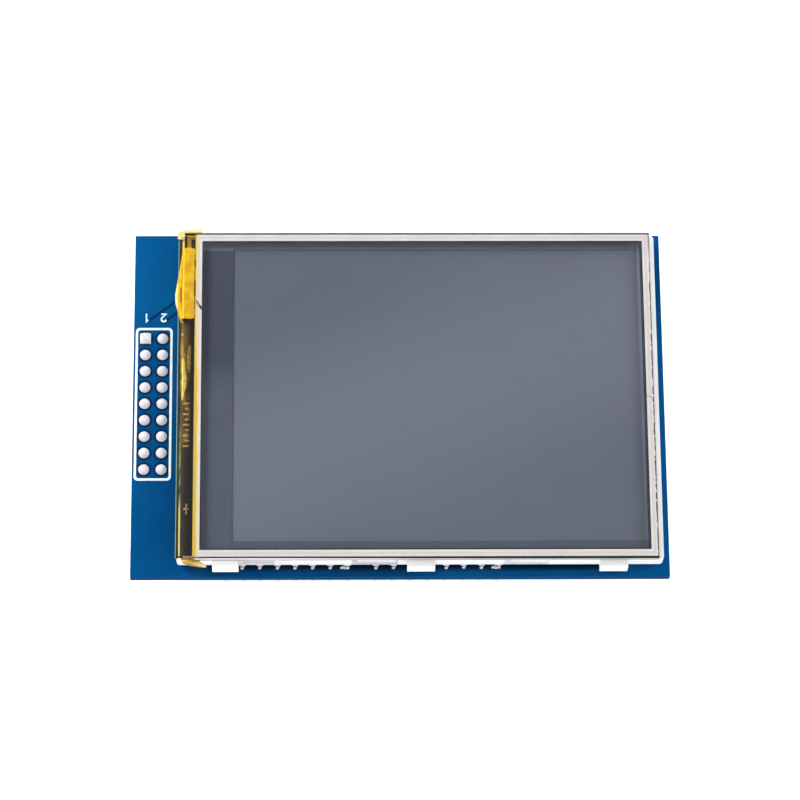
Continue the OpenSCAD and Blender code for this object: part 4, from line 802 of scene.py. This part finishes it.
# passives: glazed ceramic and moulded tantalum
resistorLook = {"tones": ("141416", "202024"), "patch": 0.6, "rough": (0.2, 0.35), "grain": 0.08,
                "relief": 0.002}
dress(makeFinish("resistor glaze", resistorLook), "chip_resistors")
ceramicLook = {"tones": ("a38361", "b9997a"), "patch": 0.5, "rough": (0.35, 0.5), "grain": 0.06,
               "relief": 0.003}
dress(makeFinish("barium titanate", ceramicLook), "chip_capacitors")
tantalumLook = {"tones": ("d59a22", "e3ae3c"), "patch": 0.9, "rough": (0.4, 0.55), "grain": 0.1,
                "relief": 0.004}
dress(makeFinish("tantalum case epoxy", tantalumLook), "moulded_capacitors")
print("underside dressed")

# tracks under the mask: etched copper, seen as slightly paler raised lines
trackLook = {"tones": ("0a5c94", "0e69a4"), "patch": 12, "rough": (0.3, 0.42), "grain": 0.4, "relief": 0.003,
             "shine": 0.1, "thick": 0.035, "width": 0.25, "short": 0.9, "gap": 0.45, "via": (0.32, 0.32),
             "viaThick": 0.045, "socketX": 22.7, "resistors": 2.4}
trackFinish = makeFinish("masked copper", trackLook)
frontEnd = pinAt("low_signal_pins")[1] + trackLook["short"]  # where tracks meet the front and the back rows
backEnd = pinAt("supply_pin_row")[1] - trackLook["short"]
tracks = []
for k in range(8):  # left shifter to the low row
    start, end = -14.27 + 0.65 * k, pinAt("low_signal_pins", k)[0]
    turn = -12.1 - trackLook["gap"] * (k if end < start else 6)
    tracks.append([(start, -11.6), (start, turn), (end, turn - abs(end - start)), (end, frontEnd)])
for k in range(4):  # resistors to the high row
    start, end = -4 + trackLook["resistors"] * k, pinAt("high_signal_pins", k)[0]
    tracks.append([(start, -15.6), (start, -17.5), (end, -17.5 - abs(end - start)), (end, frontEnd)])
for k in range(3):  # high row to the card socket
    start, end = pinAt("high_signal_pins", 5 + k)[0], 2.85 - 1.1 * k
    tracks.append([(start, frontEnd), (start, end - 6), (start + 6, end), (trackLook["socketX"], end)])
tracks.append([(trackLook["socketX"], 5.05), (12, 5.05), (8.6, 8.45), (6.4, 8.45)])
tracks.append([(trackLook["socketX"], 7.25), (20.9, 7.25)])
for k in range(9):  # side header to the left shifter
    start, end = pinAt("side_pins")[1] + pinPitch * k, -6 + 0.6 * (k - 4)
    tracks.append([(-33.8, start), (-33, start), (-33 + abs(end - start), end), (-19.4 + 0.5 * (k % 2), end)])
for k in range(5):  # resistors to the analogue row
    start, end = -17 + trackLook["resistors"] * k, pinAt("analogue_pins", k + 1)[0]
    turn = 3 + trackLook["gap"] * k
    tracks.append([(start, 1.2), (start, turn), (end, turn + start - end), (end, backEnd)])
shape = bmesh.new()
for line in tracks:
    addStrip(shape, line, trackLook["width"], boardLow - trackLook["thick"], boardLow)
    if line[-1][1] not in (frontEnd, backEnd):  # a covered via at a free end
        addPlate(shape, ovalLine(*line[-1], trackLook["via"]), boardLow - trackLook["viaThick"], boardLow)
for line, width in ((((-5, 14.4), (-5, 19.5), (-4.9, backEnd)), 1.5),  # supply tracks, wider
                    (((-2.7, 6.9), (-2.7, 5.4), (1, 5.4), (2, 6.4), (2, 9)), 0.75)):
    addStrip(shape, line, width, boardLow - trackLook["thick"], boardLow)
addPiece("back_tracks", shape, trackFinish)

# outlines printed on the back: plain frames round the rows, chips and socket, and a dot at each first pin
printLook = {"width": 0.18, "thick": 0.02, "margin": 0.25, "dot": (0.28, 0.28), "dotOut": 0.432, "dotUp": 0.6,
             "chip": 6.5, "edge": 38.85,
             "round": ("low_signal_header", "high_signal_header", "supply_header", "analogue_header",
                       "side_header", "regulator_body", "card_socket_cover")}
chipLow, chipHigh = corners("level_shifter_bodies")
boxes = [corners(name) for name in printLook["round"]]
boxes += [(chipLow, Vector((chipLow.x + printLook["chip"], chipHigh.y))),
          (Vector((chipHigh.x - printLook["chip"], chipLow.y)), chipHigh)]
shape = bmesh.new()
for low, high in boxes:
    lowX = max(low.x - printLook["margin"], -printLook["edge"])
    highX = min(high.x + printLook["margin"], printLook["edge"])
    lowY, highY = low.y - printLook["margin"], high.y + printLook["margin"]
    addStrip(shape, frameLine(lowX, lowY, highX, highY), printLook["width"], boardLow - printLook["thick"],
             boardLow)
    rim = ovalLine(lowX - printLook["dotOut"], lowY + printLook["dotUp"], printLook["dot"])
    if min(q[0] for q in rim) > -printLook["edge"]:
        addPlate(shape, rim, boardLow - printLook["thick"], boardLow)
addPiece("back_print", shape, inkFinish)

# softened edges, as moulded and cut parts have, by the bevel's width
bevels = {0.08: ("backlight_frame",), 0.05: ("mounting_tape",), 0.04: ("level_shifter_bodies",),
          0.06: ("side_header", "low_signal_header", "high_signal_header", "supply_header", "analogue_header",
                 "regulator_body")}
for width, names in bevels.items():
    for name in names:
        bevel = nodes[name].modifiers.new("edge", "BEVEL")
        bevel.width = width * mm
        bevel.segments = 2
        bevel.limit_method = "ANGLE"
        bevel.angle_limit = math.radians(40)
print("underside finished")
